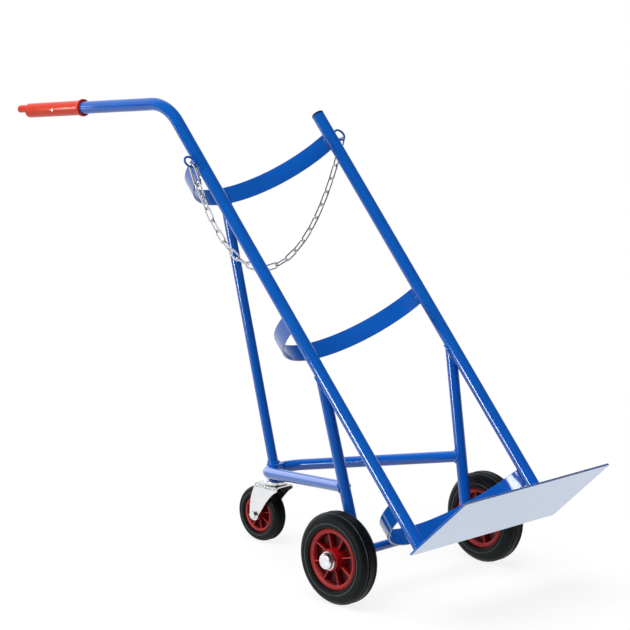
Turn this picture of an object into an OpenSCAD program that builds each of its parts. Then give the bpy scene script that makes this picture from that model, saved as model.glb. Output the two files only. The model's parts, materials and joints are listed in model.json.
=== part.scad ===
// Three-wheeled trolley that carries one tall round load leaning back against two rails.
// +X points forwards over the toe plate, +Y to the user's left, +Z up.
// The origin is on the floor, under the middle of the trolley.

/* [Load] */
// Diameter of the round load that the rails are spaced for
load_d = 375; // [320:1:420]

/* [Rails and handle] */
// Backward lean of the rails from upright, degrees
lean = 42; // [36:0.5:46]
// Diameter of the rail tubes
rail_d = 28; // [24:0.5:32]
// Wall of the rail tubes
rail_wall = 2; // [1.5:0.1:3]
// How far in front of the rail plane the load's axis lies
load_ahead = 24; // [16:1:34]
// Length of the right rail, from its foot to the corner where it bends into the handle
rail_len = 1134; // [1090:1:1300]
// Length of the left rail, from its foot to its plugged top
left_rail_len = 1042; // [1030:1:1100]
// Bend from the rail into the handle, degrees
handle_bend = 57; // [45:1:62]
// Radius of that bend, to the middle of the tube
handle_r = 90; // [70:1:110]
// Length of the handle, from the corner to the end of its tube
handle_len = 441; // [420:1:520]

/* [Bands and toe plate] */
// Width of the flat bar that the bands are rolled from
band_w = 40; // [30:1:50]
// Thickness of that bar
band_t = 4; // [3:0.5:6]
// How far the bands reach behind the middle of the rails
band_deep = 182; // [168:1:196]
// Height of the lower band's middle up the rails
lower_band_at = 98; // [90:1:125]
// Height of the middle band's middle up the rails
middle_band_at = 569; // [540:1:620]
// Height of the upper band's middle up the rails
upper_band_at = 980; // [970:1:1005]
// Width of the toe plate across the trolley
toe_w = 446; // [430:1:480]
// Depth of the toe plate, from the back of the rails to its front edge
toe_depth = 210; // [180:1:250]
// Thickness of the toe plate
toe_t = 5; // [4:0.5:8]

/* [Undercarriage] */
// Diameter of the legs
leg_d = 25; // [22:0.5:27]
// Diameter of the hoop that carries the castor
hoop_d = 25; // [20:0.5:27]
// Diameter of the rear prop
prop_d = 22; // [20:0.5:25]
// Wall of the legs, the prop and the hoop
leg_wall = 2; // [1.5:0.1:3]
// Height up the rails at which the legs leave them
leg_top_at = 436; // [400:1:470]
// How far inboard of the wheel's middle a leg stands on the axle
leg_inboard = 58; // [54:0.5:64]
// Height of the hoop where it meets the legs
hoop_front_z = 239; // [225:1:250]
// Bend radius of the hoop
hoop_r = 54; // [48:1:70]

/* [Wheels] */
// Diameter of the two main wheels
wheel_d = 200; // [190:1:220]
// Width of the main tyres
wheel_w = 50; // [44:1:54]
// Length of a main wheel's hub
hub_len = 60; // [56:1:66]
// Diameter of the main wheels' red centres, where the tyres sit
wheel_rim_d = 134; // [126:1:140]
// Distance between the middles of the main wheels
track = 456; // [450:1:480]
// Diameter of the axle
axle_d = 20; // [18:0.5:22]
// Diameter of the rollers in the wheel bearings
roller_d = 5; // [4:0.5:6]
// Rollers in each wheel bearing
roller_n = 10; // [8:1:12]
// Ribs on each side of a wheel centre
rib_n = 8; // [6:1:10]

/* [Castor] */
// Distance of the castor's swivel axis behind the main axle
castor_back = 420; // [400:1:440]
// Distance of the castor's axle behind its swivel axis
castor_trail = 43; // [36:0.5:48]
// Diameter of the castor wheel
castor_d = 125; // [115:1:130]
// Width of the castor tyre
castor_w = 36; // [32:1:40]
// Length of the castor wheel's hub, which the fork spans
castor_hub_len = 44; // [42:1:48]
// Height of the fork's crown above the top of the castor wheel
crown_over = 12.5; // [10:0.5:20]
// Diameter of the castor wheel's red centre
castor_rim_d = 84; // [78:1:90]
// Thickness of the fork's pressed steel
fork_t = 3; // [2.5:0.1:4]
// Diameter of the balls in the swivel head
ball_d = 6; // [5:0.5:7]
// Balls in the swivel head
ball_n = 16; // [12:1:18]
// Diameter of the king bolt that the castor swivels on
king_d = 12; // [10:0.5:14]

/* [Grip] */
// Length of the round part of the grip, without its nose
grip_len = 184; // [170:1:210]
// Outside diameter of the grip
grip_d = 33; // [32:0.5:36]
// Length of the grip's nose
grip_nose_len = 33; // [24:1:40]
// Diameter of the grip's nose
grip_nose_d = 18; // [15:0.5:21]

/* [Chain] */
// Wire diameter of the chain
wire_d = 4; // [3.5:0.1:4.5]
// Inside length of a link
link_in = 32; // [30:0.5:34]
// Inside width of a link
link_gap = 8; // [7.5:0.1:9]
// Number of links, an even number
link_n = 22; // [22:2:26]
// Height of the chain eyes up the rails
eye_at = 984; // [975:1:995]

/* [Hidden] */
$fn = 72;

// Gap that a weld fills at a coped or butted end
weld_gap = 0.1;
// Radial play of a shaft in its bore
run_play = 0.08;
// Air between pieces that turn past each other
air = 0.4;
// How far a cutting body runs past what it cuts
past = 2;
// Width of a bolt head across its corners, as a share of the bolt's diameter
head_share = 1.7;

// Half the distance between the rails: the load lies against both tubes
rail_y = sqrt(pow((load_d + rail_d) / 2, 2) - pow(load_ahead, 2));
// Bands are arcs whose middle line runs into the middle of both rails
band_mid_r = (pow(rail_y, 2) + pow(band_deep, 2)) / (2 * band_deep);
band_ahead = band_mid_r - band_deep;
band_out_r = band_mid_r + band_t / 2;

// The axle is welded to the back of the lower band
wheel_r = wheel_d / 2;
axle_behind = band_out_r + axle_d / 2 + weld_gap - band_ahead;
foot_ahead = sin(lean) * lower_band_at + cos(lean) * axle_behind;
foot_z = wheel_r - cos(lean) * lower_band_at + sin(lean) * axle_behind;

// The handle's slope, and how far the trolley reaches before and behind the axle
handle_dir = lean + handle_bend;
grip_over = 14;
grip_end = handle_len + grip_over;
nose_lift = 4.5;
front_reach = foot_ahead + cos(lean) * (toe_depth - rail_d / 2) + sin(lean) * toe_t;
grip_reach = grip_end + grip_nose_len;
nose_top = abs(cos(handle_dir)) * (grip_nose_d / 2 - nose_lift);
back_reach = -foot_ahead + sin(lean) * rail_len + sin(handle_dir) * grip_reach + nose_top;
axle_x = (back_reach - front_reach) / 2;

// A point by its height up the rails, its distance ahead of them and its place across
function rail_pt(up, ahead, across) = [
    axle_x + foot_ahead - sin(lean) * up + cos(lean) * ahead,
    across,
    foot_z + cos(lean) * up + sin(lean) * ahead];
function unit(v) = v / norm(v);
function mirrored(p) = [p.x, -p.y, p.z];
function arc(centre, r, from, to, steps) = [
    for (i = [0:steps]) let (a = from + (to - from) * i / steps) centre + r * [cos(a), sin(a)]];

// Tube paths
right_rail_path = [
    rail_pt(0, 0, -rail_y),
    rail_pt(rail_len, 0, -rail_y),
    rail_pt(rail_len, 0, -rail_y) + handle_len * [-sin(handle_dir), 0, cos(handle_dir)]];
left_rail_path = [rail_pt(0, 0, rail_y), rail_pt(left_rail_len, 0, rail_y)];
leg_y = track / 2 - leg_inboard;
leg_foot = [axle_x, -leg_y, wheel_r];
leg_head = rail_pt(leg_top_at, 0, -rail_y);

// Castor heights, from the floor up
castor_r = castor_d / 2;
castor_x = axle_x - castor_back;
crown_top = castor_d + crown_over;
ball_play = 0.3;
race_gap = ball_d + 2 * ball_play;
race_t = 4;
boss_z = crown_top + race_gap + race_t;
boss_d = 34;
boss_h = 37;
boss_top = boss_z + boss_h;
hoop_below = 1;
hoop_apex_z = boss_top - hoop_d / 2 - hoop_below;

// Hoop arms run from the legs to the corner that the hoop's bend rounds off
hoop_front = leg_foot + (leg_head - leg_foot) * (hoop_front_z - wheel_r) / (leg_head.z - wheel_r);
hoop_apex = [castor_x, 0, hoop_apex_z];
hoop_run = norm([hoop_front.x, 0, hoop_front.z] - hoop_apex);
hoop_along = ([hoop_front.x, 0, hoop_front.z] - hoop_apex) / hoop_run;
// Angle of an arm to the trolley's length: a line from the leg that touches the bend's circle
hoop_ahead = hoop_run - hoop_r;
hoop_spread = atan2(-hoop_front.y, hoop_ahead)
    - atan2(hoop_r, sqrt(pow(hoop_ahead, 2) + pow(hoop_front.y, 2) - pow(hoop_r, 2)));
hoop_corner = hoop_apex + hoop_along * (hoop_r - hoop_r / sin(hoop_spread));
hoop_path = [hoop_front, hoop_corner, mirrored(hoop_front)];

// The prop runs from the rear half of the boss's top to the back of the upper band
prop_back = 8;
prop_head = rail_pt(upper_band_at, band_ahead - band_mid_r, 0);
prop_foot = [castor_x - prop_back, 0, boss_top];

paint = "royalblue";
red = "firebrick";
zinc = "silver";
rubber = "#222222";

// A straight solid rod between two points
module rod(a, b, d) {
    v = b - a;
    translate(a) rotate([0, acos(v.z / norm(v)), atan2(v.y, v.x)]) cylinder(d = d, h = norm(v));
}

// One part of a bar through three points, whose corner is rounded to radius r: 0 is the first straight
// length, 1 the bend and 2 the last straight length. It is hollow where hole_d is not 0, and it is drawn in
// the corner's own frame: X away from the bend's centre, Y along the first length. The bend is drawn from its
// start, as far as the given share of its whole turn.
module bent_part(part, p, r, d, hole_d = 0, share = 1) {
    u = unit(p[1] - p[0]);
    v = unit(p[2] - p[1]);
    turn = acos(u * v);
    setback = r * tan(turn / 2);
    inward = unit(v - (u * v) * u);
    side = cross(-inward, u);
    c = p[1] - u * setback + inward * r;
    multmatrix([
        [-inward.x, u.x, side.x, c.x],
        [-inward.y, u.y, side.y, c.y],
        [-inward.z, u.z, side.z, c.z]]) {
        if (part == 0) translate([r, 0, 0]) rotate([90, 0, 0])
            linear_extrude(height = norm(p[1] - p[0]) - setback) ring(d, hole_d);
        if (part == 1) rotate_extrude(angle = turn * share) translate([r, 0]) ring(d, hole_d);
        if (part == 2) rotate([0, 0, turn]) translate([r, 0, 0]) rotate([-90, 0, 0])
            linear_extrude(height = norm(p[2] - p[1]) - setback) ring(d, hole_d);
    }
}

// All of a bar through three points
module bent_bar(p, r, d, hole_d = 0) {
    for (part = [0:2]) bent_part(part, p, r, d, hole_d);
}

// Section of a bar or tube
module ring(d, hole_d) {
    difference() {
        circle(d = d);
        if (hole_d > 0) circle(d = hole_d);
    }
}

// Children drawn in the rails' own frame: X ahead of the rails, Z up along them
module leaned(up, ahead) {
    translate(rail_pt(up, ahead, 0)) rotate([0, -lean, 0]) children();
}

// The straight part of one rail as a solid bar, a weld gap larger than the tube
module rail_space(side) {
    rod(rail_pt(0, 0, side * rail_y), rail_pt(left_rail_len, 0, side * rail_y), rail_d + 2 * weld_gap);
}

module toe_plate() {
    color(paint) leaned(0, -rail_d / 2)
        translate([0, -toe_w / 2, -toe_t]) cube([toe_depth, toe_w, toe_t]);
}

module right_rail() {
    color(paint) bent_bar(right_rail_path, handle_r, rail_d, rail_d - 2 * rail_wall);
}

module left_rail() {
    color(paint) difference() {
        rod(left_rail_path[0], left_rail_path[1], rail_d);
        rod(rail_pt(-past, 0, rail_y), rail_pt(left_rail_len + past, 0, rail_y), rail_d - 2 * rail_wall);
    }
}

// Push-in plug that closes the top of the left rail
module left_rail_plug() {
    stem_r = rail_d / 2 - rail_wall - weld_gap;
    stem_len = 18;
    cap_t = 5;
    round_r = 3;
    color(rubber) leaned(left_rail_len, 0) translate([0, rail_y, 0]) rotate_extrude() polygon(concat(
        [[0, -stem_len], [stem_r, -stem_len], [stem_r, 0], [rail_d / 2, 0], [rail_d / 2, cap_t - round_r]],
        arc([rail_d / 2 - round_r, cap_t - round_r], round_r, 0, 90, 8),
        [[0, cap_t]]));
}

// Rolled flat bar behind the load, its ends coped to the rails
module band(up) {
    reach = band_out_r + past;
    color(paint) difference() {
        leaned(up, band_ahead) rotate_extrude()
            translate([band_mid_r - band_t / 2, -band_w / 2]) square([band_t, band_w]);
        leaned(up, 0) translate([0, -reach, -band_w]) cube([2 * reach, 2 * reach, 2 * band_w]);
        for (side = [-1, 1]) rail_space(side);
    }
}

module lower_band() {
    band(lower_band_at);
}

module middle_band() {
    band(middle_band_at);
}

module upper_band() {
    band(upper_band_at);
}

// Lengths along the axle, outwards from a wheel's middle
washer_t = 2.5;
washer_d = 40;
collar_t = 8;
collar_d = 32;
cap_wall = 2;
axle_stub = 9;
axle_out = track / 2 + hub_len / 2 + washer_t + 2 * air + axle_stub;

// Children drawn round the axle on one side, Z pointing outwards from the wheel's middle
module on_axle(side) {
    translate([axle_x, side * track / 2, wheel_r]) rotate([-90 * side, 0, 0]) children();
}

// The axle as a solid bar, larger by a gap all round
module axle_bar(gap = 0) {
    rod([axle_x, -axle_out, wheel_r], [axle_x, axle_out, wheel_r], axle_d + 2 * gap);
}

module axle() {
    color(paint) axle_bar();
}

// Collars fixed on the axle, one inboard of each wheel
module axle_collars() {
    color(zinc) for (side = [-1, 1]) on_axle(side)
        translate([0, 0, -hub_len / 2 - air - washer_t - collar_t]) difference() {
            cylinder(d = collar_d, h = collar_t);
            translate([0, 0, -past]) cylinder(d = axle_d + 2 * weld_gap, h = collar_t + 2 * past);
        }
}

// Leg as a solid bar, larger by a gap all round: side is -1 on the right and 1 on the left
module leg_bar(side, gap = 0) {
    foot = side < 0 ? leg_foot : mirrored(leg_foot);
    head = side < 0 ? leg_head : mirrored(leg_head);
    rod(foot, head, leg_d + 2 * gap);
}

// Tube from the axle up to the rail, coped to both
module leg(side) {
    color(paint) difference() {
        leg_bar(side);
        leg_bar(side, -leg_wall);
        axle_bar(weld_gap);
        rail_space(side);
    }
}

module right_leg() {
    leg(-1);
}

module left_leg() {
    leg(1);
}

// Bent hoop between the legs, coped to them and to the boss behind, which parts it into two mirrored halves
module castor_hoop() {
    hole_d = hoop_d - 2 * leg_wall;
    half = 0.5;
    color(paint) for (s = [0, 1]) mirror([0, s, 0]) {
        difference() {
            bent_part(0, hoop_path, hoop_r, hoop_d, hole_d);
            leg_bar(-1, weld_gap);
        }
        difference() {
            bent_part(1, hoop_path, hoop_r, hoop_d, hole_d, half);
            translate([castor_x, 0, boss_z]) cylinder(d = boss_d + 2 * weld_gap, h = boss_h + past);
        }
    }
}

// Round boss with a blind hole from below for the king bolt
king_in = 32;
module castor_boss() {
    color(paint) translate([castor_x, 0, boss_z]) difference() {
        cylinder(d = boss_d, h = boss_h);
        translate([0, 0, -past]) cylinder(d = king_d + 2 * weld_gap, h = king_in + past);
    }
}

// Straight tube from the boss up to the back of the upper band
module rear_prop() {
    along = prop_d * unit(prop_head - prop_foot);
    cut_h = 6 * band_w;
    color(paint) difference() {
        rod(prop_foot - along, prop_head + along, prop_d);
        rod(prop_foot - 2 * along, prop_head + 2 * along, prop_d - 2 * leg_wall);
        leaned(upper_band_at, band_ahead) cylinder(r = band_out_r + weld_gap, h = cut_h, center = true);
        translate([castor_x - boss_d, -boss_d, boss_top - 2 * boss_h])
            cube([2 * boss_d, 2 * boss_d, 2 * boss_h + weld_gap]);
    }
}

// Children drawn along the handle: Z towards the grip's end, X up across it
module on_handle(along) {
    u = [-sin(handle_dir), 0, cos(handle_dir)];
    translate(rail_pt(rail_len, 0, -rail_y) + along * u) rotate([0, -handle_dir, 0]) children();
}

// Moulded grip pushed over the handle's end
flange_t = 7;
flange_d = 39;
rivet_d = 6;
rivet_at = 88;
module grip() {
    start = grip_end - grip_len;
    round_r = 3;
    flange_slope = 2;
    end_r = grip_d / 2;
    color(red) difference() {
        union() {
            on_handle(start) rotate_extrude() polygon(concat(
                [[0, 0], [flange_d / 2, 0], [flange_d / 2, flange_t], [end_r, flange_t + flange_slope]],
                arc([end_r - round_r, grip_len - round_r], round_r, 0, 90, 8),
                [[0, grip_len]]));
            on_handle(grip_end - past) translate([nose_lift, 0, 0])
                cylinder(d = grip_nose_d, h = grip_nose_len + past);
        }
        on_handle(start - past) cylinder(d = rail_d + 2 * weld_gap, h = handle_len - start + past + weld_gap);
        on_handle(start + rivet_at) rotate([90, 0, 0])
            cylinder(d = rivet_d + 2 * weld_gap, h = grip_d);
    }
}

// Blind rivet through the grip into the handle's side
module grip_rivet() {
    start = grip_end - grip_len;
    head_t = 1.5;
    color(zinc) on_handle(start + rivet_at) rotate([90, 0, 0])
        translate([0, 0, rail_d / 2 + weld_gap]) cylinder(d = rivet_d, h = (grip_d - rail_d) / 2 + head_t);
}

// Ring welded to the outside of a rail, for the chain
eye_wire_d = 5;
eye_r = 13;
eye_sink = 1.5;
eye_y = rail_y + rail_d / 2 + eye_r + eye_wire_d / 2 - eye_sink;
module eye(side) {
    color(paint) difference() {
        leaned(eye_at, 0) translate([0, side * eye_y, 0]) rotate([0, 90, 0])
            rotate_extrude() translate([eye_r, 0]) circle(d = eye_wire_d, $fn = 32);
        rail_space(side);
    }
}

module right_eye() {
    eye(-1);
}

module left_eye() {
    eye(1);
}

// Solid rubber tyre with round shoulders and two grooves round the tread
groove_w = 3;
groove_deep = 2;
bead_h = 6;
module tyre(d, rim_d, w, seat_w, shoulder_r) {
    half = w / 2;
    groove_at = w / 5;
    difference() {
        rotate_extrude() polygon(concat(
            [[rim_d / 2, -seat_w / 2]],
            [[rim_d / 2 + bead_h, -half]],
            arc([d / 2 - shoulder_r, -half + shoulder_r], shoulder_r, -90, 0, 8),
            arc([d / 2 - shoulder_r, half - shoulder_r], shoulder_r, 0, 90, 8),
            [[rim_d / 2 + bead_h, half]],
            [[rim_d / 2, seat_w / 2]]));
        for (s = [-1, 1]) rotate_extrude()
            translate([d / 2 - groove_deep, s * groove_at - groove_w / 2])
                square([groove_deep + past, groove_w]);
    }
}

// How far a rib's edges lie inside the rim's
rib_inset = 4;

// Moulded wheel centre: hub, thin web, rim ring and ribs on both sides
module wheel_centre(rim_d, rim_w, ring_t, hub_d, hub_l, bore_d, web_t, ribs, rib_t) {
    rim_r = rim_d / 2;
    rib_sink = 1;
    rib_w = rim_w - 2 * rib_inset;
    rib_out = rim_r - ring_t + rib_sink;
    rib_in = hub_d / 2 - rib_sink;
    difference() {
        union() {
            rotate_extrude() translate([rim_r - ring_t, -rim_w / 2]) square([ring_t, rim_w]);
            cylinder(r = rim_r - ring_t / 2, h = web_t, center = true);
            cylinder(d = hub_d, h = hub_l, center = true);
            for (i = [0:ribs - 1]) rotate([0, 0, i * 360 / ribs])
                translate([rib_in, -rib_t / 2, -rib_w / 2]) cube([rib_out - rib_in, rib_t, rib_w]);
        }
        cylinder(d = bore_d, h = hub_l + 2 * past, center = true);
    }
}

// Main wheels, on roller bearings
roller_ring_r = axle_d / 2 + run_play + roller_d / 2;
bearing_bore_d = 2 * (roller_ring_r + roller_d / 2 + run_play);
rim_seat_w = wheel_w - 8;
wheel_shoulder_r = 16;
wheel_ring_t = 10;
wheel_web_t = 6;
wheel_rib_t = 3;
hub_d = 50;

module main_tyre(side) {
    color(rubber) on_axle(side)
        tyre(wheel_d, wheel_rim_d + 2 * weld_gap, wheel_w, rim_seat_w, wheel_shoulder_r);
}

module main_centre(side) {
    color(red) on_axle(side) wheel_centre(wheel_rim_d, rim_seat_w, wheel_ring_t, hub_d, hub_len,
        bearing_bore_d, wheel_web_t, rib_n, wheel_rib_t);
}

// Cage that keeps the rollers apart: a sleeve with a slot for each roller
cage_inset = 2;
cage_end = 5;
cage_len = hub_len - 2 * cage_inset;
roller_len = cage_len - 2 * cage_end;
module bearing_cage(side) {
    thin = roller_d / 2;
    color("ivory") on_axle(side) difference() {
        cylinder(r = roller_ring_r + thin / 2, h = cage_len, center = true);
        cylinder(r = roller_ring_r - thin / 2, h = cage_len + past, center = true);
        for (i = [0:roller_n - 1]) rotate([0, 0, i * 360 / roller_n]) translate([roller_ring_r, 0, 0])
            cylinder(d = roller_d + 2 * run_play, h = roller_len + 2 * air, center = true);
    }
}

module rollers(side) {
    color(zinc) on_axle(side) for (i = [0:roller_n - 1]) rotate([0, 0, i * 360 / roller_n])
        translate([roller_ring_r, 0, 0]) cylinder(d = roller_d, h = roller_len, center = true, $fn = 32);
}

// Washer on the axle, its inner face at a height above the wheel's middle
module axle_washer(side, from) {
    color(zinc) on_axle(side) translate([0, 0, from]) difference() {
        cylinder(d = washer_d, h = washer_t);
        translate([0, 0, -past]) cylinder(d = axle_d + 2 * weld_gap, h = washer_t + 2 * past);
    }
}

// Domed push-on cap that holds the wheel on
module axle_cap(side) {
    from = hub_len / 2 + air + washer_t;
    cap_d = 38;
    end = axle_out - track / 2;
    tall = end - from + weld_gap + cap_wall;
    round_r = 6;
    brim_t = 2;
    brim_w = 3;
    dome_r = cap_d / 2 - brim_w;
    color(zinc) on_axle(side) difference() {
        translate([0, 0, from]) rotate_extrude() polygon(concat(
            [[0, 0], [cap_d / 2, 0], [cap_d / 2, brim_t], [dome_r, brim_t + weld_gap]],
            arc([dome_r - round_r, tall - round_r], round_r, 0, 90, 8),
            [[0, tall]]));
        translate([0, 0, from - past]) cylinder(d = axle_d + 2 * weld_gap, h = end - from + past + weld_gap);
    }
}

module right_tyre() {
    main_tyre(-1);
}

module right_wheel_centre() {
    main_centre(-1);
}

module right_bearing_cage() {
    bearing_cage(-1);
}

module right_rollers() {
    rollers(-1);
}

module right_inner_washer() {
    axle_washer(-1, -hub_len / 2 - air - washer_t);
}

module right_outer_washer() {
    axle_washer(-1, hub_len / 2 + air);
}

module right_axle_cap() {
    axle_cap(-1);
}

module left_tyre() {
    main_tyre(1);
}

module left_wheel_centre() {
    main_centre(1);
}

module left_bearing_cage() {
    bearing_cage(1);
}

module left_rollers() {
    rollers(1);
}

module left_inner_washer() {
    axle_washer(1, -hub_len / 2 - air - washer_t);
}

module left_outer_washer() {
    axle_washer(1, hub_len / 2 + air);
}

module left_axle_cap() {
    axle_cap(1);
}

// Castor: upper race under the boss, balls, and a fork that swivels on the king bolt
race_d = 52;
race_lip = 3;
ball_ring_r = 18;

module swivel_race() {
    r = race_d / 2;
    edge = 1;
    color(zinc) translate([castor_x, 0, boss_z - race_t]) rotate_extrude() polygon([
        [king_d / 2 + weld_gap, 0], [r - race_lip, 0], [r - race_lip, -race_gap + air], [r, -race_gap + air],
        [r, race_t - edge], [r - edge, race_t], [king_d / 2 + weld_gap, race_t]]);
}

module swivel_balls() {
    color(zinc) for (i = [0:ball_n - 1])
        translate([castor_x, 0, crown_top + race_gap / 2]) rotate([0, 0, i * 360 / ball_n])
            translate([ball_ring_r, 0, 0]) sphere(d = ball_d, $fn = 24);
}

// Bolt up through the fork and the race into the boss
king_head_t = 7;
module king_bolt() {
    head_z = crown_top - fork_t - air - king_head_t;
    color(zinc) translate([castor_x, 0, head_z]) {
        cylinder(d = king_d * head_share, h = king_head_t, $fn = 6);
        cylinder(d = king_d, h = boss_z + king_in - air - head_z);
    }
}

// Pressed fork: a crown and two cheeks that narrow down to the castor's axle
castor_pin_d = 10;
fork_in = castor_hub_len / 2 + 2;
module castor_fork() {
    eye_out_r = 13;
    front = 28;
    back = 42;
    crown_h = 10;
    heel = [-51, -30];
    hollow = [[16, -18], [7, -27], [-4, -39], [-14, -53], [-23, -66]];
    cheek_y = fork_in + fork_t / 2;
    axle_at = [-castor_trail, castor_r - crown_top];
    color(zinc) translate([castor_x, 0, crown_top]) difference() {
        union() {
            translate([-back, -fork_in - fork_t, -fork_t])
                cube([back + front, 2 * (fork_in + fork_t), fork_t]);
            for (s = [-1, 1]) translate([0, s * cheek_y, 0]) rotate([90, 0, 0])
                linear_extrude(height = fork_t, center = true) polygon(concat(
                    [[front, 0]],
                    [[front, -crown_h]],
                    hollow,
                    arc(axle_at, eye_out_r, -10, -170, 12),
                    [heel],
                    [[-back, -crown_h]],
                    [[-back, 0]]));
        }
        translate([0, 0, -fork_t - past]) cylinder(d = king_d + 2 * run_play, h = fork_t + 2 * past);
        translate([axle_at.x, 0, axle_at.y]) rotate([90, 0, 0])
            cylinder(d = castor_pin_d + 2 * weld_gap, h = 4 * fork_in, center = true);
    }
}

// Children drawn round the castor's axle, Z pointing to the right
module on_castor() {
    translate([castor_x - castor_trail, 0, castor_r]) rotate([90, 0, 0]) children();
}

// Sleeve clamped between the cheeks, which the castor wheel turns on
sleeve_d = 15;
module castor_sleeve() {
    color(zinc) on_castor() difference() {
        cylinder(d = sleeve_d, h = 2 * fork_in, center = true);
        cylinder(d = castor_pin_d + 2 * weld_gap, h = 2 * fork_in + past, center = true);
    }
}

// Bolt through the fork and the sleeve, its head on the right
bolt_head_t = 6;
module castor_bolt() {
    clamp_w = fork_in + fork_t;
    tail = bolt_head_t + 3;
    color(zinc) on_castor() {
        translate([0, 0, -clamp_w - tail]) cylinder(d = castor_pin_d, h = 2 * clamp_w + tail);
        translate([0, 0, clamp_w]) cylinder(d = castor_pin_d * head_share, h = bolt_head_t, $fn = 6);
    }
}

module castor_nut() {
    color(zinc) on_castor() translate([0, 0, -fork_in - fork_t - bolt_head_t]) difference() {
        cylinder(d = castor_pin_d * head_share, h = bolt_head_t, $fn = 6);
        translate([0, 0, -past]) cylinder(d = castor_pin_d + 2 * weld_gap, h = bolt_head_t + 2 * past);
    }
}

// Thrust rings between the hub's ends and the cheeks
module castor_spacers() {
    ring_t = fork_in - castor_hub_len / 2 - air;
    ring_d = 26;
    color(rubber) on_castor() for (s = [0, 1]) mirror([0, 0, s])
        translate([0, 0, fork_in - ring_t]) difference() {
            cylinder(d = ring_d, h = ring_t);
            translate([0, 0, -past]) cylinder(d = sleeve_d + 2 * weld_gap, h = ring_t + 2 * past);
        }
}

castor_seat_w = castor_w - 6;
module castor_tyre() {
    shoulder_r = 9;
    color(rubber) on_castor()
        tyre(castor_d, castor_rim_d + 2 * weld_gap, castor_w, castor_seat_w, shoulder_r);
}

module castor_wheel_centre() {
    ring_t = 7;
    hub_out_d = 30;
    web_t = 5;
    rib_t = 2.5;
    bore_d = sleeve_d + 2 * run_play;
    color(red) on_castor() wheel_centre(castor_rim_d, castor_seat_w, ring_t, hub_out_d, castor_hub_len,
        bore_d, web_t, rib_n, rib_t);
}

// Chain hung behind the rails between the two eyes, as a catenary
link_play = 0.9;
hook_wire_d = 6;
hook_in = 48;
hook_r = 9;
function sinh(x) = (exp(x) - exp(-x)) / 2;
function cosh(x) = (exp(x) + exp(-x)) / 2;
function asinh(x) = ln(x + sqrt(x * x + 1));

// From a piece's middle to the middle line of its end crown
link_crown = (link_in + wire_d) / 2;
hook_crown = (hook_in + hook_wire_d) / 2;
// Steps along the chain: eye to link, link to link, link to hook, hook to eye
first_step = link_crown - (eye_wire_d + wire_d) / 2 - link_play;
link_step = link_in - link_play;
hook_step = link_crown + hook_crown - (wire_d + hook_wire_d) / 2 - link_play;
last_step = hook_crown - (eye_wire_d + hook_wire_d) / 2 - link_play;
chain_len = first_step + (link_n - 1) * link_step + hook_step + last_step;
function half_angle(lo, hi, k) = let (m = (lo + hi) / 2)
    k == 0 ? m : sinh(m) / m > chain_len / (2 * eye_y) ? half_angle(lo, m, k - 1) : half_angle(m, hi, k - 1);
chain_u = half_angle(0.01, 6, 40);
chain_a = eye_y / chain_u;
chain_pin = rail_pt(eye_at - eye_r, 0, 0);

// Children placed on the chain, at a length along it from the left eye, Z pointing back along it
module on_chain(along) {
    s = chain_len / 2 - along;
    y = chain_a * asinh(s / chain_a);
    z = chain_pin.z - chain_a * (cosh(chain_u) - cosh(y / chain_a));
    translate([chain_pin.x, y, z]) rotate([atan(s / chain_a) - 90, 0, 0]) children();
}

// A link: two straight sides and two half rings
module chain_link() {
    r = (link_gap + wire_d) / 2;
    side_len = link_in + wire_d - 2 * r;
    for (s = [-1, 1]) {
        translate([s * r, 0, -side_len / 2]) cylinder(d = wire_d, h = side_len, $fn = 24);
        translate([0, 0, s * side_len / 2]) rotate([90, 0, 0]) rotate([0, 0, s > 0 ? 0 : 180])
            rotate_extrude(angle = 180, $fn = 48) translate([r, 0]) circle(d = wire_d, $fn = 24);
    }
}

module chain_links() {
    color(zinc) for (i = [0:link_n - 1])
        on_chain(first_step + i * link_step) rotate([0, 0, i % 2 * 90]) chain_link();
}

// Children placed at the hook, Z pointing to the eye that it holds
module on_hook() {
    on_chain(chain_len - last_step) rotate([180, 0, 0]) children();
}

// Hook: spine, two bows, a slotted stub for the gate and a nose that the gate meets
hook_side = hook_crown - hook_r;
gate_pin_z = -11;
stub_top = -8;
nose_z = 12;
gate_w = 5;
slot_w = 2.6;
pin_d = 2.5;
module snap_hook() {
    color(zinc) on_hook() difference() {
        union() {
            translate([-hook_r, 0, -hook_side]) cylinder(d = hook_wire_d, h = 2 * hook_side, $fn = 32);
            for (s = [-1, 1]) translate([0, 0, s * hook_side])
                rotate([90, 0, 0]) rotate([0, 0, s > 0 ? 0 : 180])
                    rotate_extrude(angle = 180) translate([hook_r, 0]) circle(d = hook_wire_d, $fn = 32);
            translate([hook_r, 0, -hook_side])
                cylinder(d = hook_wire_d, h = stub_top + hook_side, $fn = 32);
            translate([hook_r, 0, nose_z]) cylinder(d = hook_wire_d, h = hook_side - nose_z, $fn = 32);
        }
        translate([hook_r - hook_wire_d, -slot_w / 2, gate_pin_z - gate_w / 2 - air])
            cube([2 * hook_wire_d, slot_w, hook_wire_d]);
        translate([hook_r, 0, gate_pin_z]) rotate([90, 0, 0])
            cylinder(d = pin_d + 2 * weld_gap, h = 2 * hook_wire_d, center = true, $fn = 32);
    }
}

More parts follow.
